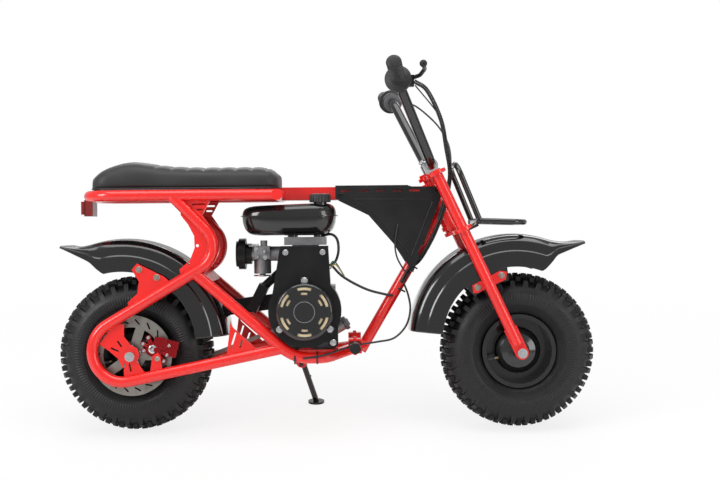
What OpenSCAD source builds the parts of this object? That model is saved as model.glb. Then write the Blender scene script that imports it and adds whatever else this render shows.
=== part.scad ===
// Mini dirt bike with a tube frame, fat knobby tyres and a small air-cooled engine.
// It is modelled upright, +X forward and +Z up, with the rear axle over x = 0,
// and each piece is then tipped onto the side stand by parked().

/* [Overall] */
// Distance between the axles
wheelbase = 880; // [850:5:910]
// Lean on the side stand, in degrees
lean_deg = 9; // [8.5:0.25:9.5]
// Outer diameter of the frame tubes
tube_d = 25.4; // [24:0.2:27]
// Half distance between the side tubes of the frame
side_y = 101; // [100:0.5:104]
// Height of the seat rails above level ground
rail_z = 538.5; // [532:0.5:545]

/* [Wheels] */
// Radius of a tyre over its lugs
tyre_r = 177.5; // [175:0.5:180]
// Width of a tyre
tyre_w = 138; // [134:1:140]
// Radius of the crown across the lugs
crown_r = 120; // [110:1:130]
// Height of the lugs
lug_h = 10; // [7:0.5:12]
// Number of lugs round the tyre in each row
lug_count = 32; // [28:4:36]
// Radius of the rim over its flanges
rim_r = 84; // [82:0.5:86]
// Radius of the domed hub
hub_r = 53; // [48:1:56]
// Diameter of the axles
axle_d = 12; // [10:0.5:14]
// Radius of the brake disc
disc_r = 91; // [86:1:94]

/* [Steering] */
// Angle of the fork from the vertical, in degrees
rake = 25; // [24:0.25:26]
// Half distance between the fork legs
fork_y = 97; // [96:0.5:99]
// Distance from the steering axis forward to the fork legs
fork_offset = 14.5; // [13:0.5:16]
// Length of a fork leg above the axle
fork_len = 455; // [450:1:460]
// Diameter of the handlebar
bar_d = 22.2; // [21:0.1:23]
// Half length of the handlebar
bar_y = 330; // [310:5:350]

/* [Engine] */
// Distance of the crankshaft ahead of the rear axle
crank_x = 393; // [388:1:398]
// Height of the crankshaft
crank_z = 276; // [274:0.5:278]
// Radius of the blower housing
blower_r = 82; // [78:1:84]
// Radius of the recoil starter
recoil_r = 64; // [60:1:68]

/* [Drive] */
// Pitch of the chain
pitch = 12.7; // [12.7:0.1:13]
// Teeth on the wheel's sprocket
wheel_teeth = 36; // [34:1:38]
// Teeth on the engine's sprocket
engine_teeth = 12; // [10:1:13]
// Distance of the chain from the middle plane
chain_y = 81; // [80:0.25:82]

/* [Bodywork] */
// Radius of the fenders' crown
fender_r = 243; // [235:1:248]
// Half width of the fenders
fender_y = 82; // [80:0.5:83]
// Thickness of the fenders
fender_t = 3; // [2:0.25:4]
// Half width of the seat
seat_y = 98; // [90:1:104]
// Thickness of the seat ahead of its hump
seat_t = 50; // [40:1:58]

/* [Hidden] */
$fn = 48;

// Clearances: welded tubes, bolted faces, and the running fit of a pivot
weld_gap = 0.2;
seat_gap = 0.3;
run_gap = 0.05;

// Lean: the tyre rolls over on its crown until the foot of the stand touches
wheel_h = (tyre_r - crown_r) * cos(lean_deg) + crown_r;
grip_z = 801;
mid_x = wheelbase / 2;
mid_y = (grip_z - tyre_r) * sin(lean_deg);
module parked() {
    translate([-mid_x, -mid_y, wheel_h]) rotate([-lean_deg, 0, 0]) translate([0, 0, -tyre_r]) children();
}

// Height of the floor under the leaning bike, in the upright frame
function floor_z(y) = tyre_r + (y * sin(lean_deg) - wheel_h) / cos(lean_deg);

function unit(v) = v / norm(v);

// A round rod from a to b
module rod(a, b, d) {
    h = norm(b - a);
    translate(a)
        rotate([0, acos((b[2] - a[2]) / h), atan2(b[1] - a[1], b[0] - a[0])])
            cylinder(d = d, h = h);
}

// A tube's elbow of radius r at corner c, between the straights from p and to q.
// Bending thins it a hair, so its ends seat inside the straights.
elbow_thin = 0.1;
elbow_seat = 1;
module elbow(p, c, q, d, r) {
    u = unit(c - p);
    w = unit(q - c);
    turn = acos(u * w);
    n = (w - u * cos(turn)) / sin(turn);
    k = cross(u, n);
    o = c - u * r * tan(turn / 2) + n * r;
    more = elbow_seat / r * 180 / PI;
    multmatrix([[-n[0], u[0], k[0], o[0]], [-n[1], u[1], k[1], o[1]], [-n[2], u[2], k[2], o[2]],
        [0, 0, 0, 1]])
        rotate([0, 0, -more]) rotate_extrude(angle = turn + 2 * more) translate([r, 0])
            circle(d = d - elbow_thin);
}

// A bent tube along corner points p, with bend radius r[i] at each inner corner.
// Children are cut from its first and last straights, where it is coped to its neighbours.
function turn_at(p, i) = acos(unit(p[i] - p[i - 1]) * unit(p[i + 1] - p[i]));
function trim(p, r, i) = (i == 0 || i == len(p) - 1) ? 0 : r[i] * tan(turn_at(p, i) / 2);
module bent(p, r, d) {
    last = len(p) - 2;
    for (i = [0 : last]) {
        u = unit(p[i + 1] - p[i]);
        difference() {
            rod(p[i] + u * trim(p, r, i), p[i + 1] - u * trim(p, r, i + 1), d);
            if (i == 0 || i == last) children();
        }
    }
    for (i = [1 : last]) elbow(p[i - 1], p[i], p[i + 1], d, r[i]);
}

// Both sides of the bike
module both() {
    children();
    mirror([0, 1, 0]) children();
}

// A plate in the bike's side plane, t thick and centred on y
module side_plate(points, t, y) {
    translate([0, y + t / 2, 0]) rotate([90, 0, 0]) linear_extrude(t) polygon(points);
}

// A rounded bar or slot from a to b in a side view, r wide to each side
module slot2d(a, b, r) {
    v = b - a;
    translate(a) rotate(atan2(v[1], v[0])) {
        translate([0, -r]) square([norm(v), 2 * r]);
        circle(r = r);
        translate([norm(v), 0]) circle(r = r);
    }
}

// A drilled tool through the side plates, from a point in side view
module side_drill(x, z, d, y, t) {
    translate([x, y + t / 2 + 1, z]) rotate([90, 0, 0]) cylinder(d = d, h = t + 2);
}

module side_slot(a, b, r, y, t) {
    translate([0, y + t / 2 + 1, 0]) rotate([90, 0, 0]) linear_extrude(t + 2) slot2d(a, b, r);
}

// Frame tubes. Each list holds corner points, and its radii stand beside it.
tail_x = -99;
cross_x = 333;
rail_bend = 60;
rail_path = [[cross_x, -side_y, rail_z], [tail_x, -side_y, rail_z], [tail_x, side_y, rail_z],
    [cross_x, side_y, rail_z]];
rail_radii = [0, rail_bend, rail_bend, 0];

// The side stay runs from the seat rail round the C bend, down to the axle, round it and forward
stay_bend = 55;
axle_bend = 68;
stay_path = [[95, side_y, rail_z], [221, side_y, 410.4], [-85, side_y, 229], [-85, side_y, 105],
    [343, side_y, 193]];
stay_radii = [0, stay_bend, axle_bend, axle_bend, 0];

// The cradle runs down from the stay, under the engine, and inward to the down tube
cradle_bend = 90;
low_z = 171;
nose_bend = 40;
cradle_path = [[149, side_y, 361], [368, side_y, low_z], [440, side_y, low_z], [527, 0, 191]];
cradle_radii = [0, cradle_bend, nose_bend, 0];

down_path = [[519, 0, 178], [711, 0, 504]];

// The backbone is a rectangular tube over the engine
spine_w = 40;
spine_h = 30;
spine_z = 542;

// Steering frame: its origin is on the front axle and its z runs up along the fork
module at_fork() {
    translate([wheelbase, 0, tyre_r]) rotate([0, -rake, 0]) children();
}
clamp_low = 304;
clamp_high = 452;
clamp_t = 8;
stem_d = 25;
head_d = 38;
head_low = 318;
head_high = 436;
cup_h = 9;
cup_d = head_d + 6;

// Rods that cope the ends of the tubes which meet them, and cut the plates that they carry
weld_d = tube_d + 2 * weld_gap;
module side_rail_cut() { rod([tail_x, side_y, rail_z], [cross_x, side_y, rail_z], weld_d); }
module diagonal_cut() { rod([-40, side_y, 255.7], [200, side_y, 398], weld_d); }
module strut_cut() { rod([149, side_y, 361], [368, side_y, low_z], weld_d); }
module cradle_cut() { bent(cradle_path, cradle_radii, weld_d); }
module down_tool(d) { rod(down_path[0], down_path[1], d); }
module head_tool(d) {
    at_fork() translate([-fork_offset, 0, head_low]) cylinder(d = d, h = head_high - head_low);
}

module seat_rail() {
    color("red") {
        bent(rail_path, rail_radii, tube_d);
        rod([cross_x, -side_y - tube_d / 2, rail_z], [cross_x, side_y + tube_d / 2, rail_z], tube_d);
    }
}

module stay() {
    color("red") bent(stay_path, stay_radii, tube_d) {
        side_rail_cut();
        strut_cut();
    }
}
module left_stay() { stay(); }
module right_stay() { mirror([0, 1, 0]) stay(); }

module cradle() {
    color("red") bent(cradle_path, cradle_radii, tube_d) {
        diagonal_cut();
        down_tool(weld_d);
        translate([400, -60.15, low_z - 30]) cube([200, 60, 80]);
    }
}
module left_cradle() { cradle(); }
module right_cradle() { mirror([0, 1, 0]) cradle(); }

module down_tube() {
    color("red") difference() {
        down_tool(tube_d);
        head_tool(head_d + 2 * weld_gap);
    }
}

module backbone() {
    color("red") difference() {
        translate([cross_x, -spine_w / 2, spine_z - spine_h / 2]) cube([700 - cross_x, spine_w, spine_h]);
        head_tool(head_d + 2 * weld_gap);
        at_fork() translate([-fork_offset, 0, head_high - cup_h - weld_gap]) cylinder(d = cup_d + 2 * weld_gap, h = 60);
        rod([cross_x, -side_y, rail_z], [cross_x, side_y, rail_z], weld_d);
        translate([0, -50, 0]) cube([cross_x, 100, 1000]);
        // what would reach past the head tube
        at_fork() translate([-fork_offset, -50, 0]) cube([100, 100, 600]);
    }
}

module head_tube() {
    color("red") at_fork() translate([-fork_offset, 0, 0]) difference() {
        union() {
            translate([0, 0, head_low]) cylinder(d = head_d, h = head_high - head_low);
            translate([0, 0, head_low]) cylinder(d = cup_d, h = cup_h);
            translate([0, 0, head_high - cup_h]) cylinder(d = cup_d, h = cup_h);
        }
        translate([0, 0, head_low - 1]) cylinder(d = stem_d + 2 * run_gap, h = head_high - head_low + 2);
    }
}

// Plates welded to the tubes, in side view, with the sizes of the real cut steel
plate_t = 4;
disc_y = 80;

c_plate = [[118, 523], [160, 500], [186, 462], [190, 424], [172, 385], [140, 358], [118, 352], [112, 372],
    [136, 392], [147, 420], [146, 447], [133, 472], [116, 494]];
c_holes = [[131, 506, 5], [156, 483, 6.5], [163, 459, 9], [153, 425, 7], [133, 385, 5]];
rail_gusset = [[112, 527], [182, 527], [152, 472]];
rail_slots = [[[142, 518], [170, 518]], [[153, 506], [164, 506]]];
low_gusset = [[226, 250], [232, 240], [286, 190], [280, 170], [214, 160]];
low_slots = [[[237, 228], [227, 196]], [[252, 211], [247, 197]]];
tail_plate = [[-70, 205], [-37, 250], [-14, 250], [-14, 222], [0, 204], [16, 195], [20, 178], [15, 166],
    [28, 146], [42, 134], [34, 118], [-14, 118], [-15, 145], [-27, 172], [-50, 192]];
tail_slots = [[[-28, 211], [-20, 200]], [[-42, 196], [-28, 190]], [[-13, 160], [-18, 145]],
    [[-2, 160], [1, 145]]];
fender_plate = [[4, 372], [16, 386], [76, 356], [92, 342], [88, 331.6], [-2, 278.2], [-6, 298], [16, 318], [20, 345]];
fender_bolts = [[20, 372], [60, 354]];
fender_bolt_d = 6;
caliper_tab = [[50, 178], [62, 186], [68, 180], [73, 140], [73, 125], [42, 125]];

module slotted_plate(points, holes, slots, y) {
    difference() {
        side_plate(points, plate_t, y);
        for (h = holes) side_drill(h[0], h[1], h[2], y, plate_t);
        for (s = slots) side_slot(s[0], s[1], 2, y, plate_t);
    }
}

// Dropouts, gussets and brackets of one side, cut clear of the tubes that carry them
dropout_y = side_y - 4;
fender_plate_y = side_y - 8;
module tube_cuts() {
    bent(stay_path, stay_radii, weld_d);
    side_rail_cut();
    cradle_cut();
}
module side_plates(right) {
    difference() {
        union() {
            slotted_plate(c_plate, c_holes, [], side_y);
            slotted_plate(rail_gusset, [], rail_slots, side_y - 8);
            slotted_plate(low_gusset, [], low_slots, side_y);
            slotted_plate(tail_plate, [[0, tyre_r, axle_d + 2 * run_gap]], tail_slots, dropout_y);
            slotted_plate(fender_plate, [for (b = fender_bolts) [b[0], b[1], fender_bolt_d + 2 * run_gap]], [],
                fender_plate_y);
            if (right) slotted_plate(caliper_tab, [[61, 172, 6]], [], side_y);
        }
        tube_cuts();
    }
}

// Clevis of one foot peg, on a stub from the cradle's nose
peg_x = 505;
peg_z = 196;
peg_d = 24;
peg_root = 74;
peg_pin_d = 8;
peg_pin_y = peg_root + 16;
ear_t = 4;
module peg_bracket() {
    ear_z = peg_d / 2 + seat_gap;
    difference() {
        union() {
            rod([peg_x, 24, peg_z], [peg_x, peg_root - ear_t, peg_z], 20);
            translate([peg_x - 15, peg_root - seat_gap - ear_t, peg_z - ear_z - ear_t])
                cube([30, 30, 2 * (ear_z + ear_t)]);
        }
        translate([peg_x - 16, peg_root - seat_gap, peg_z - ear_z]) cube([32, 40, 2 * ear_z]);
        cradle_cut();
    }
    translate([peg_x, peg_pin_y, peg_z - ear_z - ear_t - 4]) cylinder(d = peg_pin_d, h = 2 * (ear_z + ear_t + 4));
}

engine_base_z = low_z + tube_d / 2 + weld_gap;
base_t = 5;
module engine_plate() {
    difference() {
        translate([330, -side_y + 4, engine_base_z]) cube([130, 2 * side_y - 8, base_t]);
        for (x = [350, 440]) for (y = [-35, 35]) translate([x, y, engine_base_z - 1]) cylinder(d = 9, h = 10);
        for (y = [-70, 70]) translate([395, y, engine_base_z - 1]) cylinder(d = 30, h = 10);
        both() tube_cuts();
    }
}

// Cross plate between the C bends, ahead of the fender
bend_plate_a = 39;
module bend_plate() {
    difference() {
        translate([rear_cx, 0, rear_cz]) rotate([0, -bend_plate_a, 0])
            translate([fender_r + 4, -side_y, -17]) cube([plate_t, 2 * side_y, 34]);
        both() tube_cuts();
    }
}

// Bolt of the side stand, below and outside the left lower rail
lug_t = 6;
pivot = [376, side_y + 32, low_z - 35];

module frame_plates() {
    color("red") {
        side_plates(false);
        mirror([0, 1, 0]) side_plates(true);
        engine_plate();
        bend_plate();
        both() peg_bracket();
        stand_lug();
    }
}

// Pegs, each on the pin of its clevis
peg_len = 88;
module foot_pegs() {
    color("dimgray") both() difference() {
        translate([peg_x, peg_root, peg_z]) rotate([-90, 0, 0]) cylinder(d = peg_d, h = peg_len);
        translate([peg_x, peg_pin_y, peg_z - peg_d]) cylinder(d = peg_pin_d + 2 * run_gap, h = 2 * peg_d);
    }
}

// Seat: a tail hump, a flat run and a rounded nose
seat_z = rail_z + tube_d / 2 + seat_gap;
seat_front = 337;
seat_back = -91;
module seat_side() {
    polygon([[seat_back, 0], [seat_back, 24], [seat_back + 10, 34], [-25, 60], [5, 65], [35, 62],
        [90, seat_t + 4], [150, seat_t], [seat_front - 30, seat_t], [seat_front - 8, seat_t - 12],
        [seat_front, 24], [seat_front, 0]]);
}
module seat_plan() {
    r = 40;
    translate([seat_back + r, -seat_y]) square([seat_front - seat_back - 2 * r, 2 * seat_y]);
    translate([seat_back, -seat_y + r]) square([seat_front - seat_back, 2 * (seat_y - r)]);
    for (x = [seat_back + r, seat_front - r]) for (y = [-seat_y + r, seat_y - r]) translate([x, y]) circle(r = r);
}
module seat() {
    color("dimgray") translate([0, 0, seat_z]) intersection() {
        translate([0, seat_y + 1, 0]) rotate([90, 0, 0]) linear_extrude(2 * seat_y + 2) seat_side();
        difference() {
            linear_extrude(90) seat_plan();
            // notch of the nose over the backbone
            translate([cross_x - 3, -spine_w / 2 - 1, -1])
                cube([20, spine_w + 2, spine_z + spine_h / 2 - seat_z + 1 + seat_gap]);
        }
    }
}

// Fender section: a crowned channel, r outward from the wheel
skirt = 75;
corner_r = 26;
module fender_section(grow) {
    r = fender_r - grow;
    y = fender_y - grow;
    c = corner_r - grow;
    translate([0, -y]) square([r - c, 2 * y]);
    translate([r - c - 1, -(y - c)]) square([c + 1, 2 * (y - c)]);
    for (s = [-1, 1]) translate([r - c, s * (y - c)]) circle(r = c);
}
module fender_channel(thin) {
    difference() {
        fender_section(thin);
        fender_section(fender_t - thin);
        translate([-1, -200]) square([fender_r - skirt + 1 + thin, 400]);
    }
}

// A fender over a wheel: the crown follows the tyre from one end to the other, then flicks up.
// The flick is a hair thinner, so its root seats inside the crown.
flick_thin = 0.1;
module fender(start, stop, flick_r, flick) {
    root = 2 / flick_r * 180 / PI;
    rotate([90, 0, 0]) {
        rotate([0, 0, start]) rotate_extrude(angle = stop - start) fender_channel(0);
        rotate([0, 0, stop]) translate([fender_r + flick_r, 0, 0]) rotate([0, 0, 180 - flick])
            rotate_extrude(angle = flick + root) translate([fender_r + flick_r, 0]) mirror([1, 0])
                fender_channel(flick_thin);
    }
}
rear_cx = -23;
rear_cz = 199;
front_cx = 871;
front_cz = 203;
// A bolt from a fender's skirt, out through its bracket, with a spacer before it
module fender_bolt(x, z, inner, outer) {
    spacer = inner - seat_gap - fender_y;
    translate([x, fender_y - 1, z]) rotate([-90, 0, 0]) {
        if (spacer > 1) cylinder(d = 12, h = spacer + 1);
        cylinder(d = fender_bolt_d, h = outer - fender_y + 3);
        translate([0, 0, outer + seat_gap - fender_y + 1]) cylinder(d = 11, h = 5);
    }
}
module rear_fender() {
    color("#18181b") {
        both() for (b = fender_bolts)
            fender_bolt(b[0], b[1], fender_plate_y - plate_t / 2, fender_plate_y + plate_t / 2);
        rear_fender_shell();
    }
}
module rear_fender_shell() {
    difference() {
        translate([rear_cx, 0, rear_cz]) fender(5, 108, 116, 31);
        // gap in the left skirt for the chain and its guard
        translate([0, chain_y - 12, 0]) chain_line() translate([60, 0, -58]) cube([240, 60, 66]);
        translate([0, 200, 0]) rotate([90, 0, 0]) linear_extrude(400)
            polygon([[-250, 475], [-162, 424.5], [-93, 389], [-77, 374], [-72, 362], [-72, 300], [-250, 300]]);
    }
}
// Tabs of the fork legs reach the tabs of the front fender's skirts
leg_bolts = [[783, 325], [837, 352]];
leg_tab_t = 4;
leg_tab_y = fender_y + seat_gap + leg_tab_t / 2;
module leg_tab() {
    difference() {
        side_plate([[773, 312], [771, 330], [833, 362], [849, 360], [847, 343], [785, 313]], leg_tab_t, leg_tab_y);
        for (b = leg_bolts) side_drill(b[0], b[1], fender_bolt_d + 2 * run_gap, leg_tab_y, leg_tab_t);
    }
}
module front_fender() {
    color("#18181b") {
        both() for (b = leg_bolts)
            fender_bolt(b[0], b[1], leg_tab_y - leg_tab_t / 2, leg_tab_y + leg_tab_t / 2);
        both() translate([front_cx, 0, front_cz]) rotate([90, 0, 0]) rotate([0, 0, 97])
            rotate_extrude(angle = 36) translate([138, -fender_y]) square([34, fender_t]);
        front_fender_shell();
    }
}
module front_fender_shell() {
    difference() {
        translate([2 * front_cx, 0, 0]) mirror([1, 0, 0]) translate([front_cx, 0, front_cz])
            fender(5.5, 108, 160, 29);
        translate([0, 200, 0]) rotate([90, 0, 0]) linear_extrude(400)
            polygon([[1110, 480], [1028, 424.5], [958, 394], [950, 380], [945, 372], [945, 300], [1110, 300]]);
    }
}

// Side covers of the backbone
cover_y = 36;
cover_t = 2.5;
cover_outline = [[463, 559], [463, 530], [540, 492], [598, 425], [640, 358], [706, 532], [704, 556], [640, 556],
    [630, 559]];
top_slots = [[478, 496], [517, 537], [557, 577], [596, 616], [636, 655]];
module side_cover() {
    difference() {
        side_plate(cover_outline, cover_t, cover_y);
        for (s = top_slots) side_slot([s[0], 547], [s[1], 547], 2.5, cover_y, cover_t);
        side_slot([672, 434], [680, 456], 2.5, cover_y, cover_t);
        side_slot([654, 402], [661, 420], 2.5, cover_y, cover_t);
    }
    // folded top edge, down onto the backbone
    translate([463, 0, 557 + seat_gap]) cube([167, cover_y, cover_t]);
}
module side_covers() {
    color("#222224") both() side_cover();
}

module tail_light() {
    color("darkred") {
        translate([tail_x - 24, -30, 498]) cube([6, 60, 30]);
        difference() {
            translate([tail_x - 18, -25, 494]) cube([20, 50, 38]);
            rod([tail_x, -side_y, rail_z], [tail_x, side_y, rail_z], weld_d);
        }
    }
}

// Engine, with its crankshaft across the bike. Right is -Y.
module at_crank() {
    translate([crank_x, 0, crank_z]) children();
}
block_z = engine_base_z + base_t + seat_gap;
case_w = 110;
cyl_z = 330;
head_z = 424;
fins = 7;
shaft_d = 19.05;
module engine_block() {
    color("silver") difference() {
        union() {
            // crankcase, with its feet
            translate([crank_x - 68, -45, block_z + 8]) cube([136, case_w - 5, cyl_z - block_z - 8]);
            translate([crank_x - 62, -50, block_z]) cube([132, case_w, 12]);
            // side cover round the power take-off
            at_crank() translate([0, 60, 0]) rotate([-90, 0, 0]) cylinder(r = 52, h = 10);
            // cylinder and its fins
            translate([crank_x - 30, -40, cyl_z - 1]) cube([60, 80, head_z - cyl_z + 10]);
            for (i = [0 : fins - 1])
                translate([crank_x - 48, -48, cyl_z + 8 + i * 13]) cube([100, 100, 4]);
            // rocker cover
            translate([crank_x - 48, -48, head_z]) cube([96, 96, 18]);
            // oil filler neck
            translate([crank_x + 60, -36, 226]) rotate([0, 60, 0]) cylinder(d = 26, h = 36);
        }
        // shaft, and the bolts of the feet
        at_crank() translate([0, 75, 0]) rotate([90, 0, 0]) cylinder(d = shaft_d + 2 * run_gap, h = 30);
    }
}

housing_front = -112;
housing_back = -50.3;
bolt_angles = [215, 325, 90];
module blower_housing() {
    color("#141416") at_crank() translate([0, housing_back, 0]) rotate([90, 0, 0]) difference() {
        union() {
            linear_extrude(housing_back - housing_front) circle(r = blower_r);
            // shroud over the cylinder, and the lug of the lower bolt
            linear_extrude(housing_back - housing_front)
                polygon([[-blower_r + 3, 0], [-70, 52], [-54, 146], [53, 146], [58, 60], [blower_r - 3, 0]]);
            translate([52, -78, 0]) cube([22, 40, housing_back - housing_front]);
        }
        // hollow for the fan
        translate([0, 0, 3]) cylinder(r = recoil_r - 6, h = housing_back - housing_front);
    }
}

// Recoil starter: a round cover with rings of arc slots and a plain badge
recoil_face = -140;
slot_rings = [[52, 3, 6, 34], [41, 2.5, 6, 20]];
module arc_slot(r, half, a) {
    intersection() {
        difference() {
            circle(r = r + half);
            circle(r = r - half);
        }
        polygon([[0, 0], [90 * cos(-a / 2), 90 * sin(-a / 2)], [90, 0], [90 * cos(a / 2), 90 * sin(a / 2)]]);
    }
}
module recoil_starter() {
    depth = housing_front - seat_gap - recoil_face;
    color("#1b1b1e") at_crank() translate([0, housing_front - seat_gap, 0]) rotate([90, 0, 0]) difference() {
        union() {
            cylinder(r = recoil_r, h = depth - 8);
            cylinder(r = recoil_r - 8, h = depth);
            rotate_extrude() translate([recoil_r - 8, depth - 8]) circle(r = 8);
            cylinder(r = 27, h = depth + 1.5);
            for (a = bolt_angles) rotate([0, 0, a]) translate([recoil_r - 4, -9, 0]) cube([18, 18, 6]);
        }
        translate([0, 0, -1]) cylinder(r = recoil_r - 5, h = depth - 3);
        for (ring = slot_rings) for (i = [0 : ring[2] - 1])
            rotate([0, 0, 30 + i * 360 / ring[2]]) translate([0, 0, depth - 6]) linear_extrude(10)
                arc_slot(ring[0], ring[1], ring[3]);
    }
}

// Fuel tank: two pressed halves on a seam
tank_x0 = 247;
tank_x1 = 464;
tank_y = 78;
tank_seam = 491;
tank_low = 451;
tank_top = 517;
cap_x = 428;
cap_y = -spine_w / 2 - 26;
module tank_plan(grow) {
    r = 34;
    for (x = [tank_x0 + r, tank_x1 - r]) for (y = [-tank_y + r, tank_y - r]) translate([x, y]) circle(r = r + grow);
    translate([tank_x0 + r, -tank_y - grow]) square([tank_x1 - tank_x0 - 2 * r, 2 * (tank_y + grow)]);
    translate([tank_x0 - grow, -tank_y + r]) square([tank_x1 - tank_x0 + 2 * grow, 2 * (tank_y - r)]);
}
module tank_side() {
    r = 30;
    intersection() {
        translate([tank_x0, tank_low]) square([tank_x1 - tank_x0, tank_top - tank_low]);
        union() {
            translate([tank_x0, tank_seam - 8]) square([tank_x1 - tank_x0, 16]);
            for (x = [tank_x0 + r, tank_x1 - r]) translate([x, tank_low + r]) circle(r = r);
            translate([tank_x0 + r, tank_low]) square([tank_x1 - tank_x0 - 2 * r, tank_top - tank_low]);
            for (x = [tank_x0 + 20, tank_x1 - 20]) translate([x, tank_top - 20]) circle(r = 20);
        }
    }
}
module fuel_tank() {
    color("#151517") {
        intersection() {
            translate([0, tank_y + 1, 0]) rotate([90, 0, 0]) linear_extrude(2 * tank_y + 2) tank_side();
            translate([0, 0, 400]) linear_extrude(200) tank_plan(0);
        }
        translate([0, 0, tank_seam - 1]) linear_extrude(2) tank_plan(4);
        // neck, and the feet on the rocker cover
        translate([cap_x, cap_y, tank_top - 4]) cylinder(d = 30, h = 10);
        for (x = [crank_x - 36, crank_x + 30])
            translate([x, -30, head_z + 18 + seat_gap]) cube([12, 60, tank_low - head_z - 18]);
    }
}
module fuel_cap() {
    color("#222224") translate([cap_x, cap_y, tank_top + 6 + seat_gap]) {
        cylinder(d = 46, h = 14);
        for (i = [0 : 11]) rotate([0, 0, i * 30]) translate([22, 0, 0]) cylinder(d = 5, h = 14, $fn = 12);
    }
}

carb_x = 292;
carb_z = 404;
module carburettor() {
    color("silver") {
        translate([268, 0, carb_z]) rotate([0, 90, 0]) cylinder(d = 34, h = crank_x - 48 - 268 - seat_gap);
        translate([carb_x, 0, carb_z - 46]) cylinder(d = 40, h = 40);
        translate([carb_x, 0, carb_z - 53]) cylinder(d = 14, h = 10);
        translate([carb_x - 16, -24, carb_z - 12]) cube([34, 48, 30]);
        translate([carb_x + 4, -10, carb_z + 15]) cylinder(d = 16, h = 16);
    }
}
module air_cleaner() {
    color("#1a1a1c") translate([232, 0, carb_z]) rotate([0, 90, 0]) {
        cylinder(r = 30, h = 6);
        translate([0, 0, 5.9]) cylinder(r = 36, h = 16);
        translate([0, 0, 21.8]) cylinder(r = 24, h = 268 - 232 - 21.8 - seat_gap);
    }
}

// Muffler: a flat box behind the cylinder, with its pipe and flange on the exhaust port
port_x = crank_x - 48 - seat_gap;
module muffler() {
    color("#1c1c1e") {
        translate([279, 0, 300]) rotate([0, 27, 0]) translate([-12, 6, -33]) cube([24, 58, 66]);
        rod([284, 34, 318], [port_x - 6, 34, 368], 20);
        translate([port_x - 6, 18, 352]) cube([6, 32, 32]);
    }
}

// Chain line: two sprockets and the straight runs that touch both
crank_at = [crank_x, crank_z];
wheel_at = [0, tyre_r];
engine_sprocket_r = pitch / (2 * sin(180 / engine_teeth));
wheel_sprocket_r = pitch / (2 * sin(180 / wheel_teeth));
centres = norm(crank_at - wheel_at);
line_a = atan2(crank_z - tyre_r, crank_x);
spread_a = asin((wheel_sprocket_r - engine_sprocket_r) / centres);
run_len = centres * cos(spread_a);
wrap_engine = (180 - 2 * spread_a) * PI / 180 * engine_sprocket_r;
wrap_wheel = (180 + 2 * spread_a) * PI / 180 * wheel_sprocket_r;
chain_len = 2 * run_len + wrap_engine + wrap_wheel;
links = 2 * round(chain_len / pitch / 2);
step = chain_len / links;
top_a = line_a + 90 - spread_a;
low_a = line_a - 90 + spread_a;

// Point at distance s along the chain, from the wheel's top tangent forward
function on_circle(c, r, a) = c + r * [cos(a), sin(a)];
function chain_point(s) =
    s < run_len ? on_circle(wheel_at, wheel_sprocket_r, top_a)
        + (on_circle(crank_at, engine_sprocket_r, top_a) - on_circle(wheel_at, wheel_sprocket_r, top_a)) * s / run_len
    : s < run_len + wrap_engine ? on_circle(crank_at, engine_sprocket_r,
        top_a - (s - run_len) / engine_sprocket_r * 180 / PI)
    : s < 2 * run_len + wrap_engine ? on_circle(crank_at, engine_sprocket_r, low_a)
        + (on_circle(wheel_at, wheel_sprocket_r, low_a) - on_circle(crank_at, engine_sprocket_r, low_a))
            * (s - run_len - wrap_engine) / run_len
    : on_circle(wheel_at, wheel_sprocket_r, low_a - (s - 2 * run_len - wrap_engine) / wheel_sprocket_r * 180 / PI);

link_h = 9;
inner_w = 9;
outer_w = 13;
module link(p, q, w, over) {
    v = q - p;
    translate([p[0], chain_y, p[1]]) rotate([0, -atan2(v[1], v[0]), 0])
        translate([-over, -w / 2, -link_h / 2]) cube([norm(v) + 2 * over, w, link_h]);
}
module chain() {
    color("#4a4640") for (i = [0 : links - 1]) {
        wide = i % 2 == 0;
        link(chain_point(i * step), chain_point((i + 1) % links * step), wide ? outer_w : inner_w,
            wide ? link_h / 4 : 0);
    }
}

// A toothed wheel whose teeth reach into the chain
sprocket_w = 5;
module sprocket(r, teeth, bore) {
    tip = r * cos(180 / teeth) - link_h / 2 - 0.5;
    rotate([90, 0, 0]) difference() {
        linear_extrude(sprocket_w, center = true) difference() {
            circle(r = tip);
            for (i = [0 : teeth - 1]) rotate(i * 360 / teeth) translate([tip + 1, 0]) circle(r = 3.2, $fn = 8);
        }
        cylinder(d = bore, h = 20, center = true);
    }
}
module engine_sprocket() {
    color("dimgray") {
        translate([crank_x, chain_y, crank_z]) {
            sprocket(engine_sprocket_r, engine_teeth, 15);
            translate([0, -2, 0]) rotate([90, 0, 0]) cylinder(d = 30, h = chain_y - 70 - 2 - seat_gap);
            // shaft of the engine, in its bore
            translate([0, 12, 0]) rotate([90, 0, 0]) cylinder(d = shaft_d, h = 46);
        }
    }
}

// The guard stands over the upper run, on the engine's side cover
guard_t = 2;
guard_up = 14;
guard_y = 70 + seat_gap;
guard_start = 90;
guard_stop = 24;
module chain_line() {
    a = on_circle(wheel_at, wheel_sprocket_r + guard_up, top_a);
    b = on_circle(crank_at, engine_sprocket_r + guard_up, top_a);
    translate([a[0], 0, a[1]]) rotate([0, -atan2(b[1] - a[1], b[0] - a[0]), 0]) children();
}
module chain_guard() {
    long = run_len - guard_start - guard_stop;
    color("#19191b") chain_line() {
        translate([guard_start, guard_y, 0]) cube([long, 17, guard_t]);
        translate([guard_start, guard_y, -34]) cube([long, guard_t, 35]);
    }
}

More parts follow.
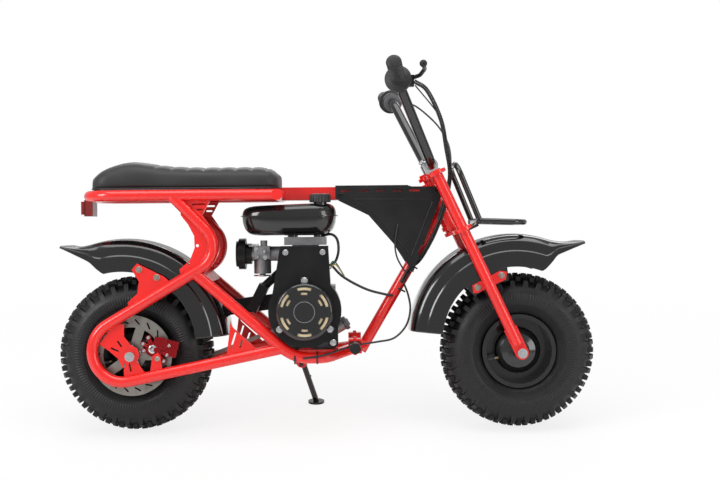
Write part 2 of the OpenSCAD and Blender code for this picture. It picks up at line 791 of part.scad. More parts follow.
// Rear brake caliper over the disc, on its tab
module brake_caliper() {
    color("#a01020") {
        translate([0, -disc_y, 0]) difference() {
            union() {
                translate([46, -14, 186]) rotate([0, 14, 0]) cube([56, 21.5, 36]);
                translate([70, -13, 206]) rotate([90, 0, 0]) cylinder(r = 14, h = 5);
                // lug on its tab
                translate([54, disc_y - side_y + plate_t / 2 + seat_gap, 165]) cube([14, 9, 32]);
            }
            // slot for the disc
            translate([0, -4, tyre_r]) rotate([-90, 0, 0]) cylinder(r = disc_r + 5, h = 8);
        }
    }
}

module rear_axle() {
    color("silver") translate([0, 0, tyre_r]) rotate([90, 0, 0]) {
        translate([0, 0, -(dropout_y + 20)]) cylinder(d = axle_d, h = 2 * (dropout_y + 20));
        for (s = [-1, 1]) translate([0, 0, s * (dropout_y + plate_t / 2 + 6.3) - 6]) cylinder(d = 22, h = 12);
        for (s = [-1, 1]) translate([0, 0, s * (dropout_y - plate_t / 2 - 3.3) - 3]) cylinder(d = 20, h = 6);
    }
}
module front_axle() {
    color("silver") translate([wheelbase, 0, tyre_r]) rotate([90, 0, 0]) {
        translate([0, 0, -(fork_y + 18)]) cylinder(d = axle_d, h = 2 * (fork_y + 18));
        for (s = [-1, 1]) translate([0, 0, s * (fork_y + 8.3) - 5]) cylinder(d = 22, h = 10);
        for (s = [-1, 1]) translate([0, 0, s * (fork_y - 7.3) - 4]) cylinder(d = 20, h = 8);
    }
}

// Fork: straight legs with flat ends, held by two plates and turning on the stem
module fork_leg() {
    color("red") at_fork() translate([0, fork_y, 0]) difference() {
        union() {
            translate([0, 0, 22]) cylinder(d = tube_d, h = fork_len - 22);
            translate([-15, -3, 0]) cube([30, 6, 62]);
            rotate([90, 0, 0]) translate([0, 0, -3]) cylinder(r = 15, h = 6);
        }
        rotate([90, 0, 0]) translate([0, 0, -20]) cylinder(d = axle_d + 2 * run_gap, h = 40);
    }
}
module left_fork_leg() {
    fork_leg();
    color("red") leg_tab();
}
module right_fork_leg() { mirror([0, 1, 0]) left_fork_leg(); }

module clamp_plan() {
    for (s = [-1, 1]) translate([0, s * fork_y]) circle(r = 22);
    translate([-fork_offset, 0]) circle(r = 22);
    for (s = [-1, 1]) polygon([[-12, s * fork_y], [16, s * fork_y], [2, 0], [-fork_offset - 12, 0]]);
}
module clamp_plate(z, t) {
    difference() {
        translate([0, 0, z]) linear_extrude(t) clamp_plan();
        for (s = [-1, 1]) translate([0, s * fork_y, z - 1]) cylinder(d = tube_d + 2 * run_gap, h = t + 2);
    }
}
module fork_clamps() {
    color("red") at_fork() {
        clamp_plate(clamp_low, clamp_t);
        clamp_plate(clamp_high - clamp_t, clamp_t);
        translate([-fork_offset, 0, clamp_low + clamp_t - 1])
            cylinder(d = stem_d, h = clamp_high - clamp_low - clamp_t + 6);
        translate([-fork_offset, 0, clamp_low + clamp_t - 1]) cylinder(d = 34, h = head_low - seat_gap - clamp_low - clamp_t + 1);
        translate([-fork_offset, 0, clamp_high - 1]) cylinder(d = 34, h = 7.5, $fn = 6);
    }
}

// Handlebar: a low centre, two splayed risers and the grips
bar_path = [[588, -bar_y, grip_z], [607, -180, 770], [682, -78, 604], [682, 78, 604], [607, 180, 770],
    [588, bar_y, grip_z]];
bar_radii = [0, 38, 45, 45, 38, 0];
module handlebar() {
    color("#151515") bent(bar_path, bar_radii, bar_d);
}

// Chrome clamps between the top plate and the bar
bar_u = -1;
bar_v = 470;
clamp_y = 32;
module bar_clamps() {
    color("gainsboro") for (s = [-1, 1]) difference() {
        union() {
            at_fork() translate([bar_u - 15, s * clamp_y - 12, clamp_high + seat_gap]) cube([30, 24, bar_v - clamp_high + 8]);
            translate([682, s * clamp_y + 13, 604]) rotate([90, 0, 0]) cylinder(r = 17, h = 26);
        }
        rod([682, -100, 604], [682, 100, 604], bar_d + 2 * run_gap);
        at_fork() translate([-fork_offset, 0, clamp_high - 1]) cylinder(d = 38, h = 12);
    }
}

// Grips and the pieces beside them lie along the bar's end
grip_dir = unit(bar_path[0] - bar_path[1]);
grip_d = 33;
grip_len = 112;
function on_bar(s) = bar_path[0] - grip_dir * s;
module grips() {
    color("#1a1a1c") both() difference() {
        union() {
            rod(on_bar(-3), on_bar(grip_len), grip_d);
            rod(on_bar(grip_len - 8), on_bar(grip_len), 58);
        }
        rod(on_bar(0), on_bar(grip_len + 1), bar_d + 2 * run_gap);
    }
}

perch = [612, -219.5, 765];
lever_path = [[622, -206, 780], [648, -226, 787], [656, -262, 795], [650, -312, 800]];
module bar_controls() {
    color("#202022") {
        // throttle housing and lever perch on the right
        difference() {
            union() {
                rod(on_bar(grip_len + 0.5), on_bar(grip_len + 25), 44);
                translate(perch) cube([24, 22, 24]);
            }
            rod(on_bar(grip_len), on_bar(grip_len + 40), bar_d + 2 * run_gap);
        }
        bent(lever_path, [0, 12, 30, 0], 9) {
            rod(on_bar(grip_len + 0.5), on_bar(grip_len + 25), 44 + 2 * run_gap);
            translate(perch) cube([24, 22, 24]);
        }
        translate(lever_path[3]) sphere(r = 8);
        // switch housing on the left
        mirror([0, 1, 0]) difference() {
            rod(on_bar(grip_len + 0.5), on_bar(grip_len + 25), 48);
            rod(on_bar(grip_len), on_bar(grip_len + 50), bar_d + 2 * run_gap);
        }
    }
}

// Front rack: an upright loop and a platform loop, on a bridge to the lower clamp
rack_d = 13;
rack_y = 88;
upright = [[791, -rack_y, 470], [737, -rack_y, 605], [737, rack_y, 605], [791, rack_y, 470]];
platform = [[780, -rack_y, 476], [893, -rack_y, 472], [893, rack_y, 472], [780, rack_y, 476]];
module front_rack() {
    color("#161617") {
        bent(upright, [0, 30, 30, 0], rack_d);
        bent(platform, [0, 34, 34, 0], rack_d);
        for (y = [-44, 0, 44]) rod([789, y, 474], [893, y, 472], 9);
        rod([788, -rack_y, 475.5], [788, rack_y, 475.5], rack_d);
        // brackets under the lower clamp
        at_fork() both() translate([4, 30, clamp_low - seat_gap - 6]) cube([36, 26, 6]);
    }
}

// Wheels
// Rows of lugs: from y, to y, turn in pitches, inner radius
lug_rows = [[4, 28, 0, 150], [36, 66, 0.5, 138]];
side_r = 40;
side_mid = 122;
carcass_r = tyre_r - lug_h;
crown_c = tyre_r - crown_r;
module carcass_section() {
    difference() {
        union() {
            intersection() {
                translate([crown_c, 0]) circle(r = crown_r - lug_h, $fn = 96);
                translate([side_mid, -tyre_w / 2 + side_r]) square([80, tyre_w - 2 * side_r]);
            }
            for (s = [-1, 1]) translate([side_mid, s * (tyre_w / 2 - side_r)]) circle(r = side_r);
            translate([rim_r - 6, -tyre_w / 2 + side_r]) square([60, tyre_w - 2 * side_r]);
        }
        square([2 * (rim_r - 6), 300], center = true);
    }
}
module lug_section(a, b, base) {
    intersection() {
        translate([crown_c, 0]) circle(r = crown_r, $fn = 96);
        translate([base, a]) square([60, b - a]);
    }
}
lug_arc = 5.6;
module wedges(turn) {
    for (i = [0 : lug_count - 1]) rotate((i + turn) * 360 / lug_count)
        polygon([[60, -60 * tan(lug_arc / 2)], [200, -200 * tan(lug_arc / 2)], [200, 200 * tan(lug_arc / 2)],
            [60, 60 * tan(lug_arc / 2)]]);
}
module tyre() {
    rotate([90, 0, 0]) {
        rotate_extrude() carcass_section();
        for (s = [0, 1]) mirror([0, 0, s]) for (row = lug_rows) intersection() {
            rotate_extrude() lug_section(row[0], row[1], row[3]);
            linear_extrude(100) wedges(row[2] + s / 2);
        }
    }
}

// Rim: barrel, flanges and a domed disc on each side
rim_half = 52;
rim_t = 3;
module rim_section() {
    a = rim_r - 9;
    b = rim_half;
    t = rim_t;
    polygon([[a, -b], [rim_r, -b], [rim_r, t - b], [a + t, t - b], [a + t, b - t], [rim_r, b - t], [rim_r, b],
        [a, b]]);
}
dome_y = 46;
nave_r = 17;
nave_y = 62;
module dome_section() {
    polygon([[axle_d, -dome_y], [hub_r - 28, -44.5], [hub_r - 14, -40], [hub_r - 4, -32], [hub_r, -22],
        [hub_r, 22], [hub_r - 4, 32], [hub_r - 14, 40], [hub_r - 28, 44.5], [axle_d, dome_y]]);
}
module wheel() {
    bore = axle_d / 2 + run_gap;
    rotate([90, 0, 0]) {
        rotate_extrude() rim_section();
        rotate_extrude() translate([hub_r - 6, -2]) square([rim_r - hub_r, 4]);
        rotate_extrude() dome_section();
        rotate_extrude() translate([bore, -nave_y]) square([nave_r - bore, 2 * nave_y]);
    }
}
module at_front() { translate([wheelbase, 0, tyre_r]) children(); }
module at_rear() { translate([0, 0, tyre_r]) children(); }
module front_tyre() { color("#232325") at_front() tyre(); }
module rear_tyre() { color("#232325") at_rear() tyre(); }
module front_wheel() { color("#111113") at_front() wheel(); }
module rear_wheel() { color("#111113") at_rear() wheel(); }

// Disc: a slotted ring on five spokes, bolted to the hub
module brake_disc() {
    color("gray") at_rear() translate([0, -disc_y, 0]) rotate([90, 0, 0]) {
        difference() {
            union() {
                cylinder(r = disc_r, h = 4, center = true);
                translate([0, 0, nave_y + seat_gap - disc_y]) cylinder(r = 26, h = disc_y - nave_y - seat_gap + 2);
            }
            for (i = [0 : 4]) rotate([0, 0, i * 72 + 36]) linear_extrude(8, center = true)
                intersection() {
                    difference() {
                        circle(r = 64);
                        circle(r = 32);
                    }
                    polygon([[18, 0], [100, -60], [100, 60]]);
                }
            translate([0, 0, -50]) cylinder(d = axle_d + 12, h = 100);
            for (i = [0 : 17]) rotate([0, 0, i * 20]) linear_extrude(8, center = true)
                slot2d([73, -5], [81, 5], 1.8);
            translate([0, 0, 3]) cylinder(r = 60, h = 20);
        }
    }
}
module wheel_sprocket() {
    color("dimgray") at_rear() {
        translate([0, chain_y, 0]) difference() {
            sprocket(wheel_sprocket_r, wheel_teeth, axle_d + 12);
            for (i = [0 : 5]) rotate([0, i * 60, 0]) translate([45, 0, 0]) rotate([90, 0, 0])
                cylinder(d = 22, h = 20, center = true);
        }
        difference() {
            translate([0, nave_y + seat_gap, 0]) rotate([-90, 0, 0])
                cylinder(r = 26, h = chain_y - nave_y - seat_gap - 2.4);
            rotate([90, 0, 0]) cylinder(d = axle_d + 12, h = 400, center = true);
        }
    }
}

// Side stand on the left: it swings on a bolt square to its leg, back along the frame
foot_y = 195;
foot = [409, foot_y, floor_z(foot_y)];
foot_t = 5;
foot_r = 20;
leg_d = 14;
leg_dir = unit(foot - pivot);
fold_dir = unit([-0.97, 0.1, 0.05]);
hinge = unit(cross(leg_dir, fold_dir));
hinge_y = cross(hinge, leg_dir);
module at_stand() {
    multmatrix([[leg_dir[0], hinge_y[0], hinge[0], pivot[0]], [leg_dir[1], hinge_y[1], hinge[1], pivot[1]],
        [leg_dir[2], hinge_y[2], hinge[2], pivot[2]], [0, 0, 0, 1]]) children();
}
module at_foot() {
    translate(foot) rotate([lean_deg, 0, 0]) children();
}
bolt_d = 10;
lug_stud = -26;
leg_stud = 62;
stud_d = 6;
spring_up = 23;
module stand_lug() {
    difference() {
        at_stand() translate([0, 0, -lug_t]) linear_extrude(lug_t - seat_gap) {
            circle(r = 12);
            translate([-48, -12]) square([48, 24]);
            translate([-48, 12]) polygon([[0, 0], [48, 0], [10, 16], [0, 16]]);
            translate([-48, -12]) polygon([[0, 0], [48, 0], [10, -16], [0, -16]]);
        }
        cradle_cut();
        at_stand() translate([0, 0, -20]) cylinder(d = bolt_d + 2 * run_gap, h = 40);
        // what would reach over the rail
        translate([300, 0, low_z + 4]) cube([200, 200, 60]);
        translate([300, 0, 100]) cube([200, side_y - tube_d / 4, 100]);
    }
    at_stand() translate([lug_stud, 0, -1]) cylinder(d = stud_d, h = spring_up + 3);
}
module side_stand() {
    color("#151517") {
        at_foot() cylinder(r = foot_r, h = foot_t);
        difference() {
            rod(pivot + leg_dir * 10 + hinge * 8, foot + [0, 0, 4], leg_d);
            at_stand() translate([-50, -50, -60]) cube([100, 100, 60]);
            at_foot() translate([-50, -50, -50]) cube([100, 100, 50]);
        }
        at_stand() {
            cylinder(r = 13, h = 12);
            translate([0, 0, -lug_t - 5]) cylinder(d = bolt_d, h = lug_t + 20);
            translate([leg_stud, 0, 8]) cylinder(d = stud_d, h = spring_up - 6);
        }
    }
}
// The spring stretches between the two studs
module stand_spring() {
    a = lug_stud + stud_d / 2 + seat_gap;
    b = leg_stud - stud_d / 2 - seat_gap;
    color("silver") at_stand() translate([a, 0, spring_up]) rotate([0, 90, 0]) {
        cylinder(d = 2.5, h = b - a);
        translate([0, 0, 0.1 * (b - a)]) cylinder(d = 9, h = 0.5 * (b - a));
    }
}

// Cables: round points chosen along their real routes
module cable(points, d) {
    n = 8;
    k = len(points);
    dirs = [for (i = [0 : k - 1]) unit(points[min(i + 1, k - 1)] - points[max(i - 1, 0)])];
    side = [for (v = dirs) unit(cross(v, abs(v[1]) > 0.9 ? [1, 0, 0] : [0, 1, 0]))];
    up = [for (i = [0 : k - 1]) cross(side[i], dirs[i])];
    ring = [for (i = [0 : k - 1]) for (j = [0 : n - 1])
        points[i] + d / 2 * (side[i] * cos(j * 360 / n) + up[i] * sin(j * 360 / n))];
    walls = [for (i = [0 : k - 2]) for (j = [0 : n - 1])
        [i * n + j, i * n + (j + 1) % n, (i + 1) * n + (j + 1) % n, (i + 1) * n + j]];
    ends = [[for (j = [n - 1 : -1 : 0]) j], [for (j = [0 : n - 1]) (k - 1) * n + j]];
    polyhedron(ring, concat(walls, ends), convexity = 4);
}

// A smooth path through the points, with m steps between two of them
function blend_at(p, i, t) = let (a = p[max(i - 1, 0)], b = p[i], c = p[i + 1], d = p[min(i + 2, len(p) - 1)])
    0.5 * (2 * b + (c - a) * t + (2 * a - 5 * b + 4 * c - d) * t * t + (3 * b - a - 3 * c + d) * t * t * t);
function smooth(p, m) = concat([for (i = [0 : len(p) - 2]) for (j = [0 : m - 1]) blend_at(p, i, j / m)],
    [p[len(p) - 1]]);

brake_line = [[638, -190, 776], [666, -170, 758], [698, -124, 700], [712, -90, 640], [722, -64, 580],
    [710, -53, 510], [693, -44, 462], [676, -32, 425], [655, -21, 390], [634, -16.6, 370], [612, -16.6, 336]];
harness_route = [[451, -60, 380], [480, -50, 350], [530, -35, 322], [572, -20, 309], [594, -15.4, 305]];
module control_cables() {
    color("black") cable(smooth(brake_line, 4), 7);
}
module harness() {
    color("black") cable(smooth(harness_route, 4), 5);
}

// Each node in its parked place
parked() seat_rail();
parked() left_stay();
parked() right_stay();
parked() left_cradle();
parked() right_cradle();
parked() down_tube();
parked() backbone();
parked() head_tube();
parked() frame_plates();
parked() foot_pegs();
parked() seat();
parked() rear_fender();
parked() side_covers();
parked() tail_light();
parked() engine_block();
parked() blower_housing();
parked() recoil_starter();
parked() fuel_tank();
parked() fuel_cap();
parked() carburettor();
parked() air_cleaner();
parked() muffler();
parked() engine_sprocket();
parked() chain();
parked() chain_guard();
parked() brake_caliper();
parked() rear_axle();
parked() harness();
parked() left_fork_leg();
parked() right_fork_leg();
parked() fork_clamps();
parked() handlebar();
parked() bar_clamps();
parked() grips();
parked() bar_controls();
parked() front_rack();
parked() front_fender();
parked() front_axle();
parked() control_cables();
parked() front_tyre();
parked() front_wheel();
parked() rear_tyre();
parked() rear_wheel();
parked() brake_disc();
parked() wheel_sprocket();
parked() side_stand();
parked() stand_spring();
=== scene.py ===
"""Looks of a mini dirt bike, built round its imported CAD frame.

The bike is described upright in millimetres, x = 0 over the rear axle, +X forward, +Y to the rider's
left and z = 0 on level ground. parked() tips it onto its side stand, into the row frame in metres.
"""

import bmesh
import bpy
import numpy as np
from mathutils import Matrix, Vector


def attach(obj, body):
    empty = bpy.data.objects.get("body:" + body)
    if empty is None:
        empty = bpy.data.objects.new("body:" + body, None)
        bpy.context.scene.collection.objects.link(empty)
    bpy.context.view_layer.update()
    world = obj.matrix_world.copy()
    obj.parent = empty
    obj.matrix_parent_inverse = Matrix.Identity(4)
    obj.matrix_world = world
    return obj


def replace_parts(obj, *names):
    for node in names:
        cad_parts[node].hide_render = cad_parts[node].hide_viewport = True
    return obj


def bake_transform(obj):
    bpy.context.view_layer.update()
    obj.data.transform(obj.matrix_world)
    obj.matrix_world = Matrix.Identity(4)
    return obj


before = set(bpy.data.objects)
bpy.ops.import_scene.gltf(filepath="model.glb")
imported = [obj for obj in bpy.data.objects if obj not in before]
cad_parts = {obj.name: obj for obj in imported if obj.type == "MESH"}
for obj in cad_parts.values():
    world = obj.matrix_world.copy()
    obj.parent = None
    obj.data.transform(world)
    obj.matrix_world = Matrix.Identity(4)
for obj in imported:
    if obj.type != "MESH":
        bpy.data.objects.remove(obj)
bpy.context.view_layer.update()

# Stance. The bike leans on its side stand, so its tyres roll over on their rounded crowns. Everything
# below is placed on the upright bike and goes through parked().
WHEELBASE, TYRE_R, CROWN_R, GRIP_Z = 880.0, 177.5, 120.0, 801.0
LEAN = np.radians(9.0)
LEAN_COS, LEAN_SIN = np.cos(LEAN), np.sin(LEAN)
WHEEL_H = (TYRE_R - CROWN_R) * LEAN_COS + CROWN_R
MID_Y = (GRIP_Z - TYRE_R) * LEAN_SIN


def lean(vectors):
    """Directions on the upright bike turned about the X axis by the lean."""
    v = np.asarray(vectors, float)
    x, y, z = v[..., 0], v[..., 1], v[..., 2]
    return np.stack([x, y * LEAN_COS + z * LEAN_SIN, z * LEAN_COS - y * LEAN_SIN], -1)


def parked(points):
    """Upright millimetres to the row frame: taken from the axle line, leaned, lifted to the tyres'
    height, and in metres."""
    out = lean(np.asarray(points, float) - [WHEELBASE / 2, 0, TYRE_R])
    return (out + [0, -MID_Y, WHEEL_H]) / 1000


# Camera. A long lens square to the leaned bike, level with the middle of the engine, rolled half a
# degree as the photograph is.
PHOTO_W, PHOTO_CENTRE = 720.0, (360.0, 240.0)
AIM = np.array([489.0, 0.0, 450.5])
AIM_PIXEL = (347.0, 233.0)
CAMERA_BACK = 2800.0
FOCAL_PIXELS = 1202.7
CAMERA_ROLL = np.radians(0.5)

camera = bpy.data.objects.new("camera", bpy.data.cameras.new("camera"))
bpy.context.collection.objects.link(camera)
bpy.context.scene.camera = camera
camera.data.sensor_width = 36.0
camera.data.lens = FOCAL_PIXELS / PHOTO_W * camera.data.sensor_width
camera.data.shift_x = (PHOTO_CENTRE[0] - AIM_PIXEL[0]) / PHOTO_W
camera.data.shift_y = (AIM_PIXEL[1] - PHOTO_CENTRE[1]) / PHOTO_W
camera.data.clip_end = 200.0
right, up, back = lean([[1, 0, 0], [0, 0, 1], [0, -1, 0]])
right, up = (right * np.cos(CAMERA_ROLL) - up * np.sin(CAMERA_ROLL),
             up * np.cos(CAMERA_ROLL) + right * np.sin(CAMERA_ROLL))
place = parked(AIM - [0, CAMERA_BACK, 0])
camera.matrix_world = Matrix([[right[i], up[i], back[i], place[i]] for i in range(3)] + [[0, 0, 0, 1]])


def socket(node, name, value):
    """Sets an input socket to a number or colour, or links another socket to it."""
    target = node.inputs[name]
    if isinstance(value, bpy.types.NodeSocket):
        node.id_data.links.new(value, target)
    else:
        target.default_value = value
    return node


def add(tree, kind, **inputs):
    """A new node of a kind, with its inputs set; an underscore in a name stands for a space."""
    node = tree.nodes.new(kind)
    for name, value in inputs.items():
        socket(node, name.replace("_", " "), value)
    return node


# Studio. A white sweep lit by a big soft box overhead, one ahead of the camera and a strip behind;
# the sky's own light is grey, and it shows white only to the camera and in reflections.
world = bpy.data.worlds.new("studio")
bpy.context.scene.world = world
world.use_nodes = True
tree = world.node_tree
tree.nodes.clear()
rays = tree.nodes.new("ShaderNodeLightPath")
seen = add(tree, "ShaderNodeMath")
seen.operation = "MAXIMUM"
socket(seen, 0, rays.outputs["Is Camera Ray"])
socket(seen, 1, rays.outputs["Is Transmission Ray"])
gloss = add(tree, "ShaderNodeMath")
gloss.operation = "MULTIPLY"
socket(gloss, 0, rays.outputs["Is Glossy Ray"])
socket(gloss, 1, 0.18)
white = add(tree, "ShaderNodeMath")
white.operation = "MAXIMUM"
socket(white, 0, seen.outputs[0])
socket(white, 1, gloss.outputs[0])
level = add(tree, "ShaderNodeMapRange", Value=white.outputs[0], To_Min=0.36, To_Max=1.0)
sky = add(tree, "ShaderNodeBackground", Color=(1, 1, 1, 1), Strength=level.outputs[0])
out = add(tree, "ShaderNodeOutputWorld", Surface=sky.outputs[0])


def soft_box(name, at, size, watts, aim=(0.0, -0.1, 0.35)):
    """A rectangular lamp turned to face the bike."""
    lamp = bpy.data.lights.new(name, "AREA")
    lamp.shape, lamp.size, lamp.size_y, lamp.energy = "RECTANGLE", size[0], size[1], watts
    obj = bpy.data.objects.new(name, lamp)
    bpy.context.collection.objects.link(obj)
    obj.location = at
    obj.rotation_euler = (Vector(aim) - Vector(at)).to_track_quat("-Z", "Y").to_euler()


soft_box("overhead", (0.1, -0.5, 2.9), (3.2, 1.8), 52)
soft_box("front", (-3.0, -2.4, 2.2), (1.6, 1.6), 66)
soft_box("side", (2.6, -2.0, 1.2), (1.0, 1.8), 22)
soft_box("behind", (0.2, 2.6, 1.8), (3.0, 1.0), 24)

FLOOR_HALF, SHADOW_NEAR, SHADOW_FAR, SHADOW_LIFT = 30.0, 0.75, 1.9, 0.82
mesh = bpy.data.meshes.new("floor")
mesh.from_pydata([(-FLOOR_HALF, -FLOOR_HALF, 0), (FLOOR_HALF, -FLOOR_HALF, 0), (FLOOR_HALF, FLOOR_HALF, 0),
                  (-FLOOR_HALF, FLOOR_HALF, 0)], [], [(0, 1, 2, 3)])
floor = bpy.data.objects.new("floor", mesh)
bpy.context.collection.objects.link(floor)
paper = bpy.data.materials.new("white_floor")
paper.use_nodes = True
tree = paper.node_tree
tree.nodes.clear()
spot = add(tree, "ShaderNodeTexCoord")
reach = add(tree, "ShaderNodeVectorMath")
reach.operation = "LENGTH"
socket(reach, 0, spot.outputs["Object"])
fade = add(tree, "ShaderNodeMapRange", Value=reach.outputs["Value"], From_Min=SHADOW_NEAR, From_Max=SHADOW_FAR,
           To_Min=SHADOW_LIFT)
rays = tree.nodes.new("ShaderNodeLightPath")
plain = add(tree, "ShaderNodeMath")
plain.operation = "MULTIPLY"
socket(plain, 0, rays.outputs["Is Camera Ray"])
socket(plain, 1, fade.outputs[0])
matt = add(tree, "ShaderNodeBsdfDiffuse", Color=(0.93, 0.93, 0.93, 1))
lift = add(tree, "ShaderNodeEmission", Color=(1, 1, 1, 1), Strength=1.0)
mix = tree.nodes.new("ShaderNodeMixShader")
socket(mix, 0, plain.outputs[0])
socket(mix, 1, matt.outputs[0])
socket(mix, 2, lift.outputs[0])
add(tree, "ShaderNodeOutputMaterial", Surface=mix.outputs[0])
floor.data.materials.append(paper)
bpy.context.scene.view_settings.view_transform = "Standard"


# Frame tubes and plates. Bent and welded steel in gloss red powder coat: the coat is a little uneven
# and is rubbed bare on the plates' edges.
def group(name, inputs, outputs):
    """An empty shader node group with its sockets: (name, kind, default) for each input."""
    made = bpy.data.node_groups.new(name, "ShaderNodeTree")
    for label, kind, value in inputs:
        made.interface.new_socket(label, in_out="INPUT", socket_type=kind).default_value = value
    for label, kind in outputs:
        made.interface.new_socket(label, in_out="OUTPUT", socket_type=kind)
    return made, made.nodes.new("NodeGroupInput").outputs, made.nodes.new("NodeGroupOutput")


# Uneven finish: two scales of noise on Object coordinates give a colour change, a roughness and a bump
uneven, given, put = group(
    "uneven_finish",
    [("Colour", "NodeSocketColor", (0.5, 0.5, 0.5, 1)), ("Shade", "NodeSocketColor", (0.3, 0.3, 0.3, 1)),
     ("Patch Scale", "NodeSocketFloat", 18.0), ("Grain Scale", "NodeSocketFloat", 900.0),
     ("Roughness", "NodeSocketFloat", 0.3), ("Roughness Change", "NodeSocketFloat", 0.1),
     ("Grain Height", "NodeSocketFloat", 0.02)],
    [("Colour", "NodeSocketColor"), ("Roughness", "NodeSocketFloat"), ("Normal", "NodeSocketVector")])
spot = uneven.nodes.new("ShaderNodeTexCoord").outputs["Object"]
patch = add(uneven, "ShaderNodeTexNoise", Vector=spot, Scale=given["Patch Scale"], Detail=4.0)
grain = add(uneven, "ShaderNodeTexNoise", Vector=spot, Scale=given["Grain Scale"], Detail=3.0)
some = add(uneven, "ShaderNodeMapRange", Value=patch.outputs["Fac"], From_Min=0.35, From_Max=0.75)
tone = uneven.nodes.new("ShaderNodeMix")
tone.data_type = "RGBA"
socket(tone, 0, some.outputs[0])
socket(tone, 6, given["Colour"])
socket(tone, 7, given["Shade"])
wave = add(uneven, "ShaderNodeMapRange", Value=patch.outputs["Fac"], From_Min=0.3, From_Max=0.7, To_Min=-1.0)
rough = add(uneven, "ShaderNodeMath")
rough.operation = "MULTIPLY_ADD"
socket(rough, 0, wave.outputs[0])
socket(rough, 1, given["Roughness Change"])
socket(rough, 2, given["Roughness"])
dents = add(uneven, "ShaderNodeBump", Strength=given["Grain Height"], Distance=0.001,
            Height=grain.outputs["Fac"])
socket(put, "Colour", tone.outputs[2])
socket(put, "Roughness", rough.outputs[0])
socket(put, "Normal", dents.outputs[0])

# Worn edges: the difference between the bevelled and the true normal, broken up by noise
wear, given, put = group(
    "worn_edges",
    [("Colour", "NodeSocketColor", (0.5, 0.5, 0.5, 1)), ("Bare", "NodeSocketColor", (0.4, 0.4, 0.4, 1)),
     ("Radius", "NodeSocketFloat", 0.001), ("Amount", "NodeSocketFloat", 0.5)],
    [("Colour", "NodeSocketColor"), ("Mask", "NodeSocketFloat")])
spot = wear.nodes.new("ShaderNodeTexCoord").outputs["Object"]
soft = add(wear, "ShaderNodeBevel", Radius=given["Radius"])
soft.samples = 4
sharp = wear.nodes.new("ShaderNodeNewGeometry").outputs["Normal"]
turn = add(wear, "ShaderNodeVectorMath")
turn.operation = "DOT_PRODUCT"
socket(turn, 0, soft.outputs[0])
socket(turn, 1, sharp)
edge = add(wear, "ShaderNodeMapRange", Value=turn.outputs["Value"], From_Min=0.985, From_Max=0.9)
chips = add(wear, "ShaderNodeTexNoise", Vector=spot, Scale=160.0, Detail=5.0)
chips = add(wear, "ShaderNodeMapRange", Value=chips.outputs["Fac"], From_Min=0.45, From_Max=0.62)
mask = add(wear, "ShaderNodeMath")
mask.operation = "MULTIPLY"
socket(mask, 0, edge.outputs[0])
socket(mask, 1, chips.outputs[0])
mask2 = add(wear, "ShaderNodeMath")
mask2.operation = "MULTIPLY"
socket(mask2, 0, mask.outputs[0])
socket(mask2, 1, given["Amount"])
tone = wear.nodes.new("ShaderNodeMix")
tone.data_type = "RGBA"
socket(tone, 0, mask2.outputs[0])
socket(tone, 6, given["Colour"])
socket(tone, 7, given["Bare"])
socket(put, "Colour", tone.outputs[2])
socket(put, "Mask", mask2.outputs[0])


def finish(name, colour, shade, roughness, metallic=0.0, patch=18.0, grain=900.0, change=0.08, height=0.02,
           bare=None, worn=0.5, **shader):
    """A material for one finish: colour and roughness vary by the uneven_finish group, and a bare
    colour, where given, shows along worn edges. Other sockets of the shader are set as named."""
    made = bpy.data.materials.new(name)
    made.use_nodes = True
    tree = made.node_tree
    tree.nodes.clear()
    body = add(tree, "ShaderNodeBsdfPrincipled", Metallic=metallic)
    for label, value in shader.items():
        body.inputs[label.replace("_", " ")].default_value = value
    varied = tree.nodes.new("ShaderNodeGroup")
    varied.node_tree = uneven
    add_to = {"Colour": (*colour, 1), "Shade": (*shade, 1), "Patch Scale": patch, "Grain Scale": grain,
              "Roughness": roughness, "Roughness Change": change, "Grain Height": height}
    for label, value in add_to.items():
        socket(varied, label, value)
    tint = varied.outputs["Colour"]
    if bare:
        edges = tree.nodes.new("ShaderNodeGroup")
        edges.node_tree = wear
        socket(edges, "Colour", tint)
        socket(edges, "Bare", (*bare, 1))
        socket(edges, "Amount", worn)
        tint = edges.outputs["Colour"]
    socket(body, "Base Color", tint)
    socket(body, "Roughness", varied.outputs["Roughness"])
    socket(body, "Normal", varied.outputs["Normal"])
    add(tree, "ShaderNodeOutputMaterial", Surface=body.outputs[0])
    return made


def coat(material, *nodes):
    """Gives CAD nodes a material."""
    for node in nodes:
        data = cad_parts[node].data
        data.materials.clear()
        data.materials.append(material)


red_coat = finish("red_powder_coat", (0.90, 0.012, 0.008), (0.78, 0.009, 0.006), 0.30, patch=14, grain=420,
                  height=0.10, bare=(0.95, 0.30, 0.24), worn=0.35, Coat_Weight=0.6, Coat_Roughness=0.08)
coat(red_coat, "seat_rail", "left_stay", "right_stay", "left_cradle", "right_cradle", "down_tube",
     "backbone", "head_tube", "frame_plates", "left_fork_leg", "right_fork_leg", "fork_clamps")


def weave(rows, cols, round_rows=False, round_cols=False):
    """Quads between the neighbours of a rows by cols grid of points. A round direction joins its last
    line to its first. They face outwards where rows x cols points outwards."""
    i = np.arange(rows if round_rows else rows - 1)[:, None]
    j = np.arange(cols if round_cols else cols - 1)[None, :]
    a, b = i * cols + j, i * cols + (j + 1) % cols
    c, d = (i + 1) % rows * cols + (j + 1) % cols, (i + 1) % rows * cols + j
    return np.stack([a, b, c, d], -1).reshape(-1, 4)


